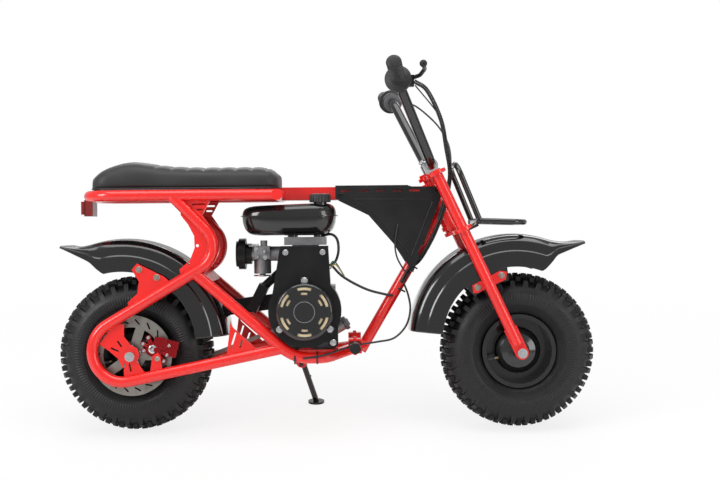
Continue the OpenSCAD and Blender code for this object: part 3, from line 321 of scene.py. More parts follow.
def skin(name, points, faces, material, body, slot, smooth=True, sharp=0.6):
    """A piece from upright points in millimetres and faces, closed at its seams, with outward faces.
    Its slot is not used.
    It rides on a body, or on none,
    and takes its finish from its material."""
    mesh = bpy.data.meshes.new(name)
    mesh.from_pydata(parked(points).reshape(-1, 3).tolist(), [], [tuple(f) for f in faces])
    work = bmesh.new()
    work.from_mesh(mesh)
    bmesh.ops.remove_doubles(work, verts=work.verts, dist=2e-6)
    bmesh.ops.dissolve_degenerate(work, edges=work.edges, dist=1e-6)
    bmesh.ops.recalc_face_normals(work, faces=work.faces)
    work.to_mesh(mesh)
    work.free()
    if smooth:
        mesh.polygons.foreach_set("use_smooth", np.ones(len(mesh.polygons), bool))
        mesh.set_sharp_from_angle(angle=sharp)
    mesh.materials.append(material)
    piece = bpy.data.objects.new(name, mesh)
    bpy.context.collection.objects.link(piece)
    if body:
        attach(piece, body)
    return piece


def unit(v):
    """Vectors over their own lengths."""
    v = np.asarray(v, float)
    return v / np.linalg.norm(v, axis=-1, keepdims=True)


def rail(points, steps=8):
    """A smooth path through points: between two of them a cubic takes its slopes from their
    neighbours (Catmull-Rom), worked out for all steps at once."""
    p = np.asarray(points, float)
    p = np.vstack([2 * p[0] - p[1], p, 2 * p[-1] - p[-2]])
    a, b, c, d = (q[:, None, :] for q in (p[:-3], p[1:-2], p[2:-1], p[3:]))
    t = (np.arange(steps) / steps)[None, :, None]
    curve = 0.5 * (2 * b + (c - a) * t + (2 * a - 5 * b + 4 * c - d) * t ** 2 + (3 * b - a - 3 * c + d) * t ** 3)
    return np.vstack([curve.reshape(-1, 3), p[-2]])


def sweep(path, radii, sides=12, up=(0.0, 1.0, 0.0)):
    """Points and faces of a round tube along a path: at each point a circle of that radius stands
    square to the path, measured from one fixed direction. Its ends are flat faces."""
    path = np.asarray(path, float)
    along = unit(np.gradient(path, axis=0))
    side = np.cross(along, up)
    flat = np.linalg.norm(side, axis=1) < 0.15
    side[flat] = np.cross(along[flat], (1.0, 0.0, 0.0))
    side = unit(side)
    over = np.cross(side, along)
    angle = np.linspace(0, 2 * np.pi, sides, endpoint=False)
    r = np.broadcast_to(np.asarray(radii, float), (len(path),))[:, None, None]
    ring = side[:, None, :] * np.cos(angle)[None, :, None] + over[:, None, :] * np.sin(angle)[None, :, None]
    points = path[:, None, :] + r * ring
    faces = weave(len(path), sides, round_cols=True).tolist()
    last = (len(path) - 1) * sides
    return points.reshape(-1, 3), faces + [list(range(sides))[::-1], list(range(last, last + sides))]


def gather(parts):
    """Several (points, faces) joined into one."""
    starts = np.cumsum([0] + [len(p) for p, f in parts])
    points = np.vstack([p for p, f in parts])
    return points, [[i + s for i in face] for (p, f), s in zip(parts, starts) for face in f]


def spun(profile, at, axis, sides=24, hexagon=False):
    """Points and faces of a turned shape: rows of (distance along the axis, radius) make rings about
    it. A hexagon's radius follows its flats, r cos(30) / cos(angle from the nearest flat)."""
    profile = np.asarray(profile, float)
    axis = unit(axis)
    side = unit(np.cross(axis, (0.0, 0.0, 1.0) if abs(axis[2]) < 0.9 else (1.0, 0.0, 0.0)))
    over = np.cross(axis, side)
    angle = np.linspace(0, 2 * np.pi, sides, endpoint=False)
    shape = np.ones(sides)
    if hexagon:
        shape = np.cos(np.pi / 6) / np.cos((angle + np.pi / 6) % (np.pi / 3) - np.pi / 6)
    ring = (side[None] * np.cos(angle)[:, None] + over[None] * np.sin(angle)[:, None])
    flat = np.broadcast_to(np.asarray(hexagon), (len(profile),)) if np.ndim(hexagon) else None
    scale = np.ones((len(profile), sides)) if not hexagon and flat is None else np.tile(shape, (len(profile), 1))
    points = (np.asarray(at, float) + profile[:, 0, None, None] * axis
              + (profile[:, 1, None] * scale)[..., None] * ring[None])
    faces = weave(len(profile), sides, round_cols=True).tolist()
    last = (len(profile) - 1) * sides
    return points.reshape(-1, 3), faces + [list(range(sides))[::-1], list(range(last, last + sides))]


def bolt(at, axis, across, tall=None, washer=1.6, socket_head=False):
    """A hexagon bolt head on its washer, seated at a point and facing along the axis. A socket head
    is round, with a hexagon hole."""
    tall = tall or across * 0.62
    r = across / 2
    disc = spun([(0, r * washer), (1.2, r * washer), (1.6, r * washer - 0.5), (1.6, r * 0.9)], at, axis, 20)
    top = np.asarray(at, float) + 1.5 * unit(axis)
    if socket_head:
        cap = spun([(0, r), (tall - 0.6, r), (tall, r - 0.6), (tall, r * 0.55)], top, axis, 20)
        well = spun([(tall, r * 0.56), (tall * 0.35, r * 0.52), (tall * 0.35, 0)], top, axis, 18, True)
        return gather([disc, cap, well])
    head = spun([(0, r * 1.15), (tall - 0.8, r * 1.15), (tall, r * 0.98), (tall, 0)], top, axis, 18, True)
    return gather([disc, head])


zinc = finish("zinc_plate", (0.52, 0.50, 0.43), (0.36, 0.34, 0.28), 0.34, 1.0, patch=60, grain=1400,
              change=0.12, height=0.05)
bright_zinc = finish("bright_zinc", (0.78, 0.79, 0.80), (0.58, 0.60, 0.62), 0.24, 1.0, patch=80, grain=1200,
                     change=0.10, height=0.04)
LEFT, RIGHT = (0, 1, 0), (0, -1, 0)
SIDE_Y = 101.0
frame_bolts = []
for face in (LEFT, RIGHT):
    s = face[1]
    # fender brackets, stay crossings and the caliper's tab, at the height of each plate's outer face
    frame_bolts += [bolt((20, s * (SIDE_Y - 6), 372), face, 9), bolt((60, s * (SIDE_Y - 6), 354), face, 9)]
frame_bolts.append(bolt((61, -SIDE_Y - 2, 172), RIGHT, 10, washer=1.2))
skin("frame_bolts", *gather(frame_bolts), zinc, "frame", "steel")


# Tyres. Fat off-road tyres: three rows of blocks a side stand on a round carcass, each row half a
# pitch on from its neighbour, and fine ribs run out over the walls.
LUGS, LUG_HALF, RAMP = 32, 2.0, 0.3
SIDE_R, SIDE_MID, BEAD_R = 40.0, 122.0, 80.0
LUG_H = 10.0
HALF_W = 69.0
# Rows of lugs: from y, to y, turn in pitches
lug_rows = [(2.7, 19.9, 0.0), (24.1, 42.0, 0.5), (46.5, 60.5, 0.0)]


def tyre_mesh(centre_x):
    """A closed tyre in points and faces. Across the tread the carcass is an arc of the crown's radius
    and then a round side; each block lifts it to the crown's outer arc, where a ramp function of the
    width and one of the angle are both 1."""
    pitch = 360 / LUGS
    edges = LUG_HALF + RAMP * np.array([-1, 1])
    local = np.concatenate([-edges[::-1], [0], edges, pitch / 2 - edges[::-1], [pitch / 2], pitch / 2 + edges])
    angle = (np.arange(LUGS)[:, None] * pitch + local[None, :]).ravel()
    tread = np.array([0, 2.2, 3.2, 9, 14.5, 19.4, 20.4, 23.6, 24.6, 30, 36, 41.5, 42.5, 46, 47, 52, 57, 60,
                      61, 64.5, 67])
    wall = np.radians([10, 0, -12, -24, -36, -48, -58])
    y = np.concatenate([tread, HALF_W - SIDE_R + SIDE_R * np.cos(wall), [46.0, 43.0]])
    crown = TYRE_R - CROWN_R + np.sqrt((CROWN_R - LUG_H) ** 2 - np.minimum(tread, 100) ** 2)
    side = SIDE_MID + np.sqrt(np.maximum(SIDE_R ** 2 - (tread - HALF_W + SIDE_R) ** 2, 0))
    base = np.concatenate([np.where(tread < 30, crown, side), SIDE_MID + SIDE_R * np.sin(wall), [84.0, BEAD_R]])
    top = TYRE_R - CROWN_R + np.sqrt(CROWN_R ** 2 - np.minimum(y, 100) ** 2)
    y = np.concatenate([-y[:0:-1], y])
    base, top = (np.concatenate([v[:0:-1], v]) for v in (base, top))
    lift = np.zeros((len(angle), len(y)))
    for low, high, turn in lug_rows:
        for side_of, shift in ((1, 0.0), (-1, 0.5)):
            near = (angle / pitch - turn - shift + 0.5) % 1.0 - 0.5
            round_it = np.clip((LUG_HALF + RAMP - np.abs(near * pitch)) / (2 * RAMP), 0, 1)
            across = np.clip(np.minimum(y * side_of - low + 0.5, high + 0.5 - y * side_of), 0, 1)
            lift = np.maximum(lift, round_it[:, None] * across[None, :])
    lift[:, np.abs(np.arange(len(y)) - len(y) // 2) >= len(tread)] = 0
    radius = base[None, :] + lift * np.maximum(top - base, 0)[None, :]
    turn = np.radians(angle)[:, None]
    points = np.stack([centre_x + radius * np.cos(turn), np.broadcast_to(y, radius.shape),
                       TYRE_R + radius * np.sin(turn)], -1)
    return points.reshape(-1, 3), weave(len(angle), len(y), True, True)


def hub_place(piece, centre_x):
    """Stores each vertex's place from the wheel's centre, upright and in millimetres, for the material."""
    mesh = piece.data
    co = np.empty(len(mesh.vertices) * 3)
    mesh.vertices.foreach_get("co", co)
    p = co.reshape(-1, 3) * 1000 - [0, -MID_Y, WHEEL_H]
    back = np.stack([p[:, 0] + WHEELBASE / 2 - centre_x, p[:, 1] * LEAN_COS - p[:, 2] * LEAN_SIN,
                     p[:, 2] * LEAN_COS + p[:, 1] * LEAN_SIN], -1)
    mesh.attributes.new("hub_place", "FLOAT_VECTOR", "POINT").data.foreach_set("vector", back.ravel())


def waves(tree, value, count, low, high, over):
    """Ridges along a value, count of them for each unit, faded out outside low to high of another."""
    ridge = add(tree, "ShaderNodeMath")
    ridge.operation = "MULTIPLY"
    socket(ridge, 0, value)
    socket(ridge, 1, count)
    wave = add(tree, "ShaderNodeMath")
    wave.operation = "SINE"
    socket(wave, 0, ridge.outputs[0])
    rise = add(tree, "ShaderNodeMapRange", Value=over, From_Min=low, From_Max=low + 1.5)
    fall = add(tree, "ShaderNodeMapRange", Value=over, From_Min=high, From_Max=high - 1.5)
    band = add(tree, "ShaderNodeMath")
    band.operation = "MULTIPLY"
    socket(band, 0, rise.outputs[0])
    socket(band, 1, fall.outputs[0])
    out = add(tree, "ShaderNodeMath")
    out.operation = "MULTIPLY"
    socket(out, 0, wave.outputs[0])
    socket(out, 1, band.outputs[0])
    return out.outputs[0]


tyre_rubber = finish("tyre_rubber", (0.005, 0.005, 0.006), (0.010, 0.010, 0.011), 0.46, patch=22, grain=700,
                     change=0.10, height=0.22, Specular_IOR_Level=0.42)
tree = tyre_rubber.node_tree
rubber_body = next(n for n in tree.nodes if n.type == "BSDF_PRINCIPLED")
grain_normal = rubber_body.inputs["Normal"].links[0].from_socket
place = tree.nodes.new("ShaderNodeAttribute")
place.attribute_name = "hub_place"
split = add(tree, "ShaderNodeSeparateXYZ", Vector=place.outputs["Vector"])
angle = add(tree, "ShaderNodeMath")
angle.operation = "ARCTAN2"
socket(angle, 0, split.outputs[2])
socket(angle, 1, split.outputs[0])
flat_place = add(tree, "ShaderNodeCombineXYZ", X=split.outputs[0], Y=split.outputs[2])
far = add(tree, "ShaderNodeVectorMath")
far.operation = "LENGTH"
socket(far, 0, flat_place.outputs[0])
ribs = waves(tree, angle.outputs[0], 128.0, 112.0, 133.0, far.outputs["Value"])
rings = waves(tree, far.outputs["Value"], 2.4, 93.0, 108.0, far.outputs["Value"])
total = add(tree, "ShaderNodeMath")
total.operation = "ADD"
socket(total, 0, ribs)
socket(total, 1, rings)
ridges = add(tree, "ShaderNodeBump", Strength=0.6, Distance=0.0007, Height=total.outputs[0], Normal=grain_normal)
socket(rubber_body, "Normal", ridges.outputs[0])

for name, centre_x, body in (("front_tyre", WHEELBASE, "front_wheel_body"), ("rear_tyre", 0.0, "rear_wheel_body")):
    tyre = skin(name + "_tread", *tyre_mesh(centre_x), tyre_rubber, body, "tyre_rubber", sharp=0.5)
    hub_place(tyre, centre_x)
    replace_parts(tyre, name)

# Wheels. Pressed steel rims with domed discs in gloss black, a rubber valve stem in each.
gloss_black = finish("gloss_black_paint", (0.010, 0.010, 0.011), (0.016, 0.016, 0.017), 0.20, patch=12,
                     grain=350, height=0.06, bare=(0.16, 0.16, 0.17), worn=0.3, Coat_Weight=0.5,
                     Coat_Roughness=0.06)
coat(gloss_black, "front_wheel", "rear_wheel")
soft_rubber = finish("soft_rubber", (0.014, 0.014, 0.015), (0.024, 0.024, 0.025), 0.48, patch=40, grain=800,
                     height=0.2)
brass = finish("valve_cap", (0.30, 0.22, 0.10), (0.22, 0.16, 0.08), 0.35, 1.0, patch=90)
STEM = [(0, 4.6), (4, 4.6), (7, 3.2), (20, 2.9), (20.4, 2.6)]
CAP = [(20, 3.0), (27, 3.0), (28, 2.2), (28, 0)]
for name, centre_x, degrees, body in (("front", WHEELBASE, 196.0, "front_wheel_body"),
                                      ("rear", 0.0, 196.0, "rear_wheel_body")):
    turn = np.radians(degrees)
    inward = np.array([-np.cos(turn), -0.55, -np.sin(turn)])
    root = np.array([centre_x, -44.0, TYRE_R]) - [inward[0] * 74.5, 0, inward[2] * 74.5]
    skin(name + "_valve_stem", *spun(STEM, root, inward, 14), soft_rubber, body, "rubber")
    skin(name + "_valve_cap", *spun(CAP, root, inward, 14), brass, body, "steel")


# Seat. A long vinyl pad with a tail hump: foam under charcoal vinyl, crowned across, with sewn
# channels over the flat run and a welt round its foot.
SEAT_Z, SEAT_BACK, SEAT_FRONT, SEAT_Y = 551.5, -91.0, 337.0, 98.0
SEAT_H = [(-91, 22), (-84, 33), (-60, 49), (-25, 61), (4, 65), (36, 61), (70, 55), (105, 52), (160, 50),
          (290, 50), (318, 46), (331, 38), (337, 24)]
SEAMS = np.arange(58.0, 316.0, 36.0)


def pad():
    """A closed pad. Along it the height follows the seat's profile; across, each ring is a
    superellipse, |y / w| ^ 4.5 + |z / h| ^ 4.5 = 1, over a flat foot. Sewn channels press narrow
    grooves into the top, with faint puckers beside them."""
    x = np.sort(np.concatenate([np.linspace(SEAT_BACK, SEAT_FRONT, 120)]
                               + [SEAMS + d for d in (-4.2, -2.0, -0.8, 0.8, 2.0, 4.2)]))
    h = np.interp(x, *np.array(SEAT_H).T)
    h = np.convolve(np.pad(h, 3, "edge"), np.ones(7) / 7, "valid")
    end = np.minimum(x - SEAT_BACK, SEAT_FRONT - x)
    w = SEAT_Y - 40 + np.sqrt(np.maximum(1600 - np.maximum(40 - end, 0) ** 2, 0))
    t = np.linspace(0, np.pi, 41)[None, :]
    power = 2 / 4.5
    y = w[:, None] * np.sign(np.cos(t)) * np.abs(np.cos(t)) ** power
    z = h[:, None] * np.abs(np.sin(t)) ** power
    z += 2.5 * (z / h[:, None]) * (1 - (y / SEAT_Y) ** 2)
    groove = np.exp(-((x[:, None] - SEAMS[None, :]) / 2.2) ** 2).max(1)
    swell = 0.6 * np.cos((x - SEAMS[0]) / 36.0 * 2 * np.pi) * (x > SEAMS[0]) * (x < SEAMS[-1])
    top = np.clip((z / h[:, None] - 0.80) / 0.15, 0, 1)
    pucker = 0.35 * np.sin(y * 0.9 + np.sin(x[:, None] * 0.05) * 2) * np.exp(
        -(np.abs(x[:, None] - SEAMS[None, :]).min(1) / 6)[:, None] ** 2) * (groove > 0)[:, None]
    z -= top * (2.2 * groove[:, None] + swell[:, None] - pucker)
    points = np.stack([np.broadcast_to(x[:, None], y.shape), y, SEAT_Z + np.maximum(z, 0)], -1)
    foot = np.stack([x, np.zeros_like(x), np.full_like(x, SEAT_Z)], -1)[:, None, :]
    foot = np.concatenate([foot + [0, -1, 0] * (w * 0.5)[:, None, None], foot + [0, 1, 0] * (w * 0.5)[:, None, None]],
                          1)
    grid = np.concatenate([points, foot], 1)
    rows, cols = grid.shape[:2]
    last = (rows - 1) * cols
    faces = weave(rows, cols, round_cols=True).tolist()
    return grid.reshape(-1, 3), faces + [list(range(cols))[::-1], list(range(last, last + cols))]


vinyl = finish("seat_vinyl", (0.018, 0.018, 0.019), (0.028, 0.028, 0.030), 0.46, patch=16, grain=620, change=0.07,
               height=0.5, Sheen_Weight=0.12, Specular_IOR_Level=0.42)
seat = skin("seat_pad", *pad(), vinyl, "frame", "vinyl", sharp=1.2)
rounding = seat.modifiers.new("rounding", "SUBSURF")
rounding.levels = rounding.render_levels = 1
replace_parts(seat, "seat")

welt_x = np.concatenate([np.linspace(SEAT_BACK + 4, SEAT_FRONT - 4, 90)])
end = np.minimum(welt_x - SEAT_BACK, SEAT_FRONT - welt_x)
welt_w = SEAT_Y - 40 + np.sqrt(np.maximum(1600 - np.maximum(40 - end, 0) ** 2, 0)) + 0.6
welt = gather([sweep(np.stack([welt_x, s * welt_w, np.full_like(welt_x, SEAT_Z + 3.0)], -1), 2.0, 8, (0, 0, 1))
               for s in (1, -1)])
skin("seat_welt", *welt, soft_rubber, "frame", "rubber")

# Bodywork. Moulded fenders in gloss black plastic, side covers in textured black, and a red tail lens.
fender_plastic = finish("fender_plastic", (0.004, 0.004, 0.005), (0.007, 0.007, 0.008), 0.15, patch=10, grain=120,
                        height=0.03, change=0.04, Coat_Weight=0.7, Coat_Roughness=0.05)
cover_plastic = finish("cover_plastic", (0.010, 0.010, 0.011), (0.016, 0.016, 0.017), 0.34, patch=18, grain=1100,
                       height=0.30, change=0.06, Specular_IOR_Level=0.32)
coat(cover_plastic, "side_covers", "bar_controls", "grips", "foot_pegs")
lens = finish("tail_lens", (0.30, 0.006, 0.006), (0.20, 0.003, 0.003), 0.12, patch=30, grain=200, Coat_Weight=0.8)
coat(lens, "tail_light")

# Engine. Die-cast alloy, matt black blower housing and recoil cover, a black pressed tank.
cast_alloy = finish("cast_alloy", (0.42, 0.42, 0.43), (0.26, 0.26, 0.27), 0.48, 0.85, patch=26, grain=520,
                    change=0.12, height=0.5)
coat(cast_alloy, "engine_block", "carburettor")
shroud_paint = finish("shroud_paint", (0.006, 0.006, 0.007), (0.010, 0.010, 0.011), 0.32, patch=16, grain=900,
                      height=0.25, bare=(0.12, 0.12, 0.12), worn=0.2, Specular_IOR_Level=0.30)
coat(shroud_paint, "blower_housing", "air_cleaner", "chain_guard", "muffler")
tank_paint = finish("tank_paint", (0.007, 0.007, 0.008), (0.011, 0.011, 0.012), 0.18, patch=9, grain=300,
                    height=0.08, Coat_Weight=0.6, Coat_Roughness=0.08)
coat(tank_paint, "recoil_starter", "handlebar", "front_rack", "side_stand")

# Metal. Bright chrome clamps, plain steel drive, a red anodised caliper.
chrome = finish("chrome", (0.86, 0.87, 0.88), (0.70, 0.71, 0.73), 0.10, 1.0, patch=40, grain=600, change=0.05)
coat(chrome, "bar_clamps")
steel = finish("drive_steel", (0.36, 0.34, 0.31), (0.22, 0.20, 0.18), 0.38, 1.0, patch=50, grain=900, change=0.12,
               height=0.08)
coat(steel, "chain", "engine_sprocket", "wheel_sprocket", "brake_disc")
coat(bright_zinc, "rear_axle", "front_axle", "stand_spring")
anodised = finish("red_anodised", (0.36, 0.010, 0.014), (0.26, 0.006, 0.010), 0.30, 0.75, patch=40, grain=800,
                  bare=(0.75, 0.70, 0.70), worn=0.3)
coat(anodised, "brake_caliper")
cable_skin = finish("cable_skin", (0.012, 0.012, 0.013), (0.020, 0.020, 0.021), 0.42, patch=60, grain=700,
                    height=0.1)


# Fenders. Moulded black channels over each tyre: a crowned top, round corners, a step pressed along
# each skirt, and a tail that flicks up and thins to a tip.
FENDER_R, FENDER_Y, SKIRT = 243.0, 82.0, 75.0


def fender(centre, start, stop, flick_r, flick, cut, mirrored, chain_gap):
    """Outer surface of a fender. Frames follow the crown's arc and then the flick's, which turns the
    other way. From each crown point the section goes inward by a depth d while y follows a round
    corner and a step. Where the inward ray meets the tail's cut line, the section shrinks to it."""
    a = np.radians(np.linspace(start, stop, 110))
    crown = np.stack([np.cos(a), np.sin(a)], -1)
    first = centre + FENDER_R * crown
    b = np.radians(stop - np.linspace(0, flick, 34)[1:])
    turn = np.stack([np.cos(b), np.sin(b)], -1)
    far = centre + (FENDER_R + flick_r) * crown[-1]
    p = np.vstack([first, far - flick_r * turn])
    inward = -np.vstack([crown, turn])
    d = np.linspace(0, SKIRT, 301)
    ray = p[:, None, :] + d[None, :, None] * inward[:, None, :]
    line = np.array(cut, float)
    under = (ray[..., 0] < line[-1, 0]) & (ray[..., 1] < np.interp(ray[..., 0], *line.T))
    deep = np.where(under.any(1), d[under.argmax(1)], SKIRT)
    deep = np.convolve(np.pad(deep, 3, "edge"), np.ones(7) / 7, "valid")
    deep = np.maximum(deep, 2.5)
    corner = np.radians(np.linspace(0, 90, 9))
    half = [(0, 0), (14, 0.15), (28, 0.6), (42, 1.4), (50, 2.2)]
    half += [(50 + 28.5 * np.sin(c), 2.2 + 24 * (1 - np.cos(c))) for c in corner[1:]]
    half += [(78.7, 31), (78.8, 36), (79.2, 37.5), (81.2, 39.5), (81.8, 41), (82, 46), (82, 56), (81.8, 66),
             (81.6, 72), (82, 74), (82, 75)]
    half = np.array(half)
    section = np.vstack([half[:0:-1] * [-1, 1], half])
    left = section[:, 0] > 0
    share = np.broadcast_to((deep / SKIRT)[:, None], (len(p), len(section))).copy()
    if chain_gap:
        near = np.degrees(np.concatenate([a, b]))
        ramp = np.clip((chain_gap - near) / 4, 0, 1)
        share[:, left] = np.minimum(share[:, left], (1 - 0.52 * ramp)[:, None])
    depth = section[None, :, 1] * share
    place = p[:, None, :] + depth[..., None] * inward[:, None, :]
    x = 2 * centre[0] - place[..., 0] if mirrored else place[..., 0]
    points = np.stack([x, np.broadcast_to(section[None, :, 0], x.shape), place[..., 1]], -1)
    faces = weave(*x.shape)
    return points.reshape(-1, 3), faces if mirrored else faces[:, ::-1]


rear_cut = [(-250, 475), (-162, 424.5), (-93, 389), (-77, 374), (-72, 362)]
front_cut = [(2 * 871 - x, z) for x, z in ((1110, 480), (1028, 424.5), (958, 394), (950, 380), (945, 372))]
for name, centre, shape, body in (
        ("rear_fender", (-23.0, 199.0), (5, 108, 116, 31, rear_cut, False, 34.0), "frame"),
        ("front_fender", (871.0, 203.0), (5.5, 108, 160, 29, front_cut, True, 0.0), "steering")):
    piece = skin(name + "_skin", *fender(np.array(centre), *shape), fender_plastic, body, "fender_black", sharp=1.3)
    wall = piece.modifiers.new("wall", "SOLIDIFY")
    wall.thickness, wall.offset = 0.003, -1.0
    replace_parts(piece, name)

# Tabs of the front skirts, bolted to the fork legs' tabs, and spacers behind the rear brackets
arc = np.radians(np.linspace(97, 133, 25))
tabs, tab_bolts, spacers = [], [], []
for s in (1, -1):
    ring = [np.stack([871 + r * np.cos(arc), np.full_like(arc, s * y), 203 + r * np.sin(arc)], -1)
            for r, y in ((138, 79.3), (172, 79.3), (172, 81.8), (138, 81.8))]
    tabs.append((np.stack(ring, 1).reshape(-1, 3),
                 weave(25, 4, round_cols=True).tolist() + [[0, 1, 2, 3], [96, 97, 98, 99]]))
    tab_bolts += [bolt((x, s * 86.4, z), (0, s, 0), 9) for x, z in ((783, 325), (837, 352))]
    spacers += [spun([(0, 6), (8.6, 6)], (x, s * 82.1, z), (0, s, 0), 20) for x, z in ((20, 372), (60, 354))]
skin("front_fender_tabs", *gather(tabs), fender_plastic, "steering", "fender_black")
skin("front_fender_bolts", *gather(tab_bolts), zinc, "steering", "steel")
skin("rear_fender_spacers", *gather(spacers), fender_plastic, "frame", "fender_black")


# Recoil starter and engine trim. A cream fan shows through the cover's slots round a plain badge;
# flange bolts hold cover and shroud, and the oil filler has a round cap.
CRANK_X, CRANK_Z, COVER_Y, FACE_Y = 393.0, 276.0, -112.3, -140.0
cream = finish("fan_cream", (0.95, 0.78, 0.50), (0.85, 0.68, 0.42), 0.55, patch=60, grain=500, height=0.1)
grey_plastic = finish("grey_plastic", (0.10, 0.10, 0.105), (0.15, 0.15, 0.155), 0.45, patch=40, grain=700,
                      height=0.2)
skin("fan_behind_slots", *spun([(0, 56.5), (1.5, 56.5), (1.5, 30), (1.5, 0)], (CRANK_X, FACE_Y + 4.3, CRANK_Z),
                               RIGHT, 48), cream, "frame", "alloy")
badge = spun([(0, 25.5), (0.9, 25.5), (1.2, 25.2), (1.2, 0)], (CRANK_X, FACE_Y - 1.5, CRANK_Z), RIGHT, 48)
skin("plain_badge", *badge, tank_paint, "frame", "cover_black")
ring = spun([(0, 23.4), (0.5, 23.4), (0.5, 22.6), (0, 22.6)], (CRANK_X, FACE_Y - 2.6, CRANK_Z), RIGHT, 48)
skin("badge_ring", *ring, bright_zinc, "frame", "chrome")
cover_bolts = []
for degrees in (215, 325, 90):
    turn = np.radians(degrees)
    at = (CRANK_X + 69 * np.cos(turn), COVER_Y - 6, CRANK_Z + 69 * np.sin(turn))
    cover_bolts.append(bolt(at, RIGHT, 9))
cover_bolts += [bolt((456, -112, 206), RIGHT, 9), bolt((351, -112, 408), RIGHT, 8), bolt((434, -112, 408), RIGHT, 8)]
skin("cover_bolts", *gather(cover_bolts), bright_zinc, "frame", "steel")
NECK = np.array([CRANK_X + 60, -36, 226]) + 31.0 * unit([np.sin(np.radians(60)), 0, np.cos(np.radians(60))])
knurl = [(0, 14.5), (1.5, 16), (8, 16), (9.5, 14.5), (9.5, 9), (13, 8), (13, 0)]
skin("oil_filler_cap", *spun(knurl, NECK, (np.sin(np.radians(60)), 0, 0.5), 28), grey_plastic, "frame",
     "cover_black")

# Air cleaner clamp, drain bowl ring and throttle screw of the carburettor, and the governor spring.
small = [spun([(0, 20.8), (3, 20.8), (3, 19), (3, 0)], (292, 0, 352), (0, 0, 1), 28),
         spun([(0, 4.5), (9, 4.5), (10, 3.5), (10, 0)], (298, -24, 410), RIGHT, 16),
         spun([(0, 3), (14, 3), (15, 2), (15, 0)], (284, -24, 398), RIGHT, 12),
         bolt((300, -24, 396), RIGHT, 7), bolt((279, -24, 416), RIGHT, 7)]
skin("carburettor_trim", *gather(small), bright_zinc, "frame", "steel")
turns = np.linspace(0, 2 * np.pi * 9, 9 * 16)
spring = np.stack([262 + 24 * turns / turns[-1], -27 + 3.0 * np.cos(turns), 424 + 3.0 * np.sin(turns)], -1)
skin("governor_spring", *sweep(spring, 0.7, 6), bright_zinc, "frame", "steel")

# Brake trim. The caliper's round body carries arms with bright bolts about a bright ringed centre;
# the disc is bolted to the hub.
CALIPER_AT = np.array([50.0, -84.8, 193.0])
caliper_arms = [(39.7, 218.6), (27.8, 205.1), (29.5, 189.5), (86.5, 200.5), (81.4, 179.0), (74.4, 165.3)]
body = [spun([(0, 17), (9.5, 17), (12, 15), (12, 10.5)], CALIPER_AT, RIGHT, 40)]
trim = [spun([(0, 9.6), (1.6, 9.6), (2.0, 9.0), (2.0, 6.2), (1.0, 6.0), (1.0, 3.4), (2.2, 3.2), (2.2, 0)],
             CALIPER_AT + [0, -11.6, 0], RIGHT, 32)]
for x, z in caliper_arms:
    tip = np.array([x, -91.2, z])
    hub = np.array([50.0, -91.2, 193.0])
    body.append(sweep(np.array([hub, (hub + tip) / 2, tip]), [7.0, 5.6, 5.0], 14))
    body.append(spun([(0, 5.4), (10.4, 5.4), (11, 4.8), (11, 0)], (x, -85.2, z), RIGHT, 20))
    trim.append(bolt((x, -95.8, z), RIGHT, 6, washer=1.15))
skin("caliper_body", *gather(body), anodised, "frame", "anodised")
skin("caliper_bolts", *gather(trim), bright_zinc, "frame", "steel")
hub_bolts = []
for k in range(5):
    turn = np.radians(72 * k + 18)
    hub_bolts.append(bolt((20 * np.cos(turn), -82.0, TYRE_R + 20 * np.sin(turn)), RIGHT, 7, washer=1.2))
skin("disc_bolts", *gather(hub_bolts), bright_zinc, "rear_wheel_body", "steel")


# Fuel tank. Two deep pressed halves in gloss black meet at a rolled seam; a ribbed cap screws onto
# the neck.
TANK_X0, TANK_X1, TANK_Y, TANK_SEAM = 247.0, 464.0, 78.0, 491.0
# Height of each ring and how far it stands in from the seam
tank_rings = [(446, 44), (446.6, 30), (448.5, 21), (452, 14), (457, 9), (464, 5), (474, 1.8), (486, 0.3),
              (490, 0), (490, -4), (492, -4), (492, 0), (499, 0.4), (506, 1.8), (512, 4.6), (516.5, 9),
              (519.5, 16), (521, 26), (521.6, 48)]


def tank_shell():
    """A closed shell. Each ring is a rounded rectangle: a superellipse of power 3.4 whose half sizes
    are the seam's less the ring's inset; the upper rings tilt, so the tank falls towards the rear."""
    t = np.linspace(0, 2 * np.pi, 112, endpoint=False)[None, :]
    z, inset = np.array(tank_rings, float).T[:, :, None]
    half_x = (TANK_X1 - TANK_X0) / 2
    power = 2 / 3.4
    x = (half_x - inset) * np.sign(np.cos(t)) * np.abs(np.cos(t)) ** power
    y = (TANK_Y - inset * 0.9) * np.sign(np.sin(t)) * np.abs(np.sin(t)) ** power
    tilt = np.clip((z - TANK_SEAM) / 27, 0, 1) * 5.0 * (x / half_x - 1) * 0.8
    points = np.stack([x + (TANK_X0 + TANK_X1) / 2, y, z + tilt], -1)
    rows, cols = points.shape[:2]
    last = (rows - 1) * cols
    faces = weave(rows, cols, round_cols=True).tolist()
    return points.reshape(-1, 3), faces + [list(range(cols))[::-1], list(range(last, last + cols))]


tank_feet = [([x, y, 442.3], 11.0) for x in (363, 423) for y in (-24, 24)]
shell = gather([tank_shell(), spun([(0, 15), (6, 15), (6, 0)], (428, -46, 515), (0, 0, 1), 32)]
               + [spun([(0, r), (9, r), (9, 0)], at, (0, 0, 1), 20) for at, r in tank_feet])
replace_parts(skin("pressed_tank", *shell, tank_paint, "frame", "black_paint", sharp=0.7), "fuel_tank")

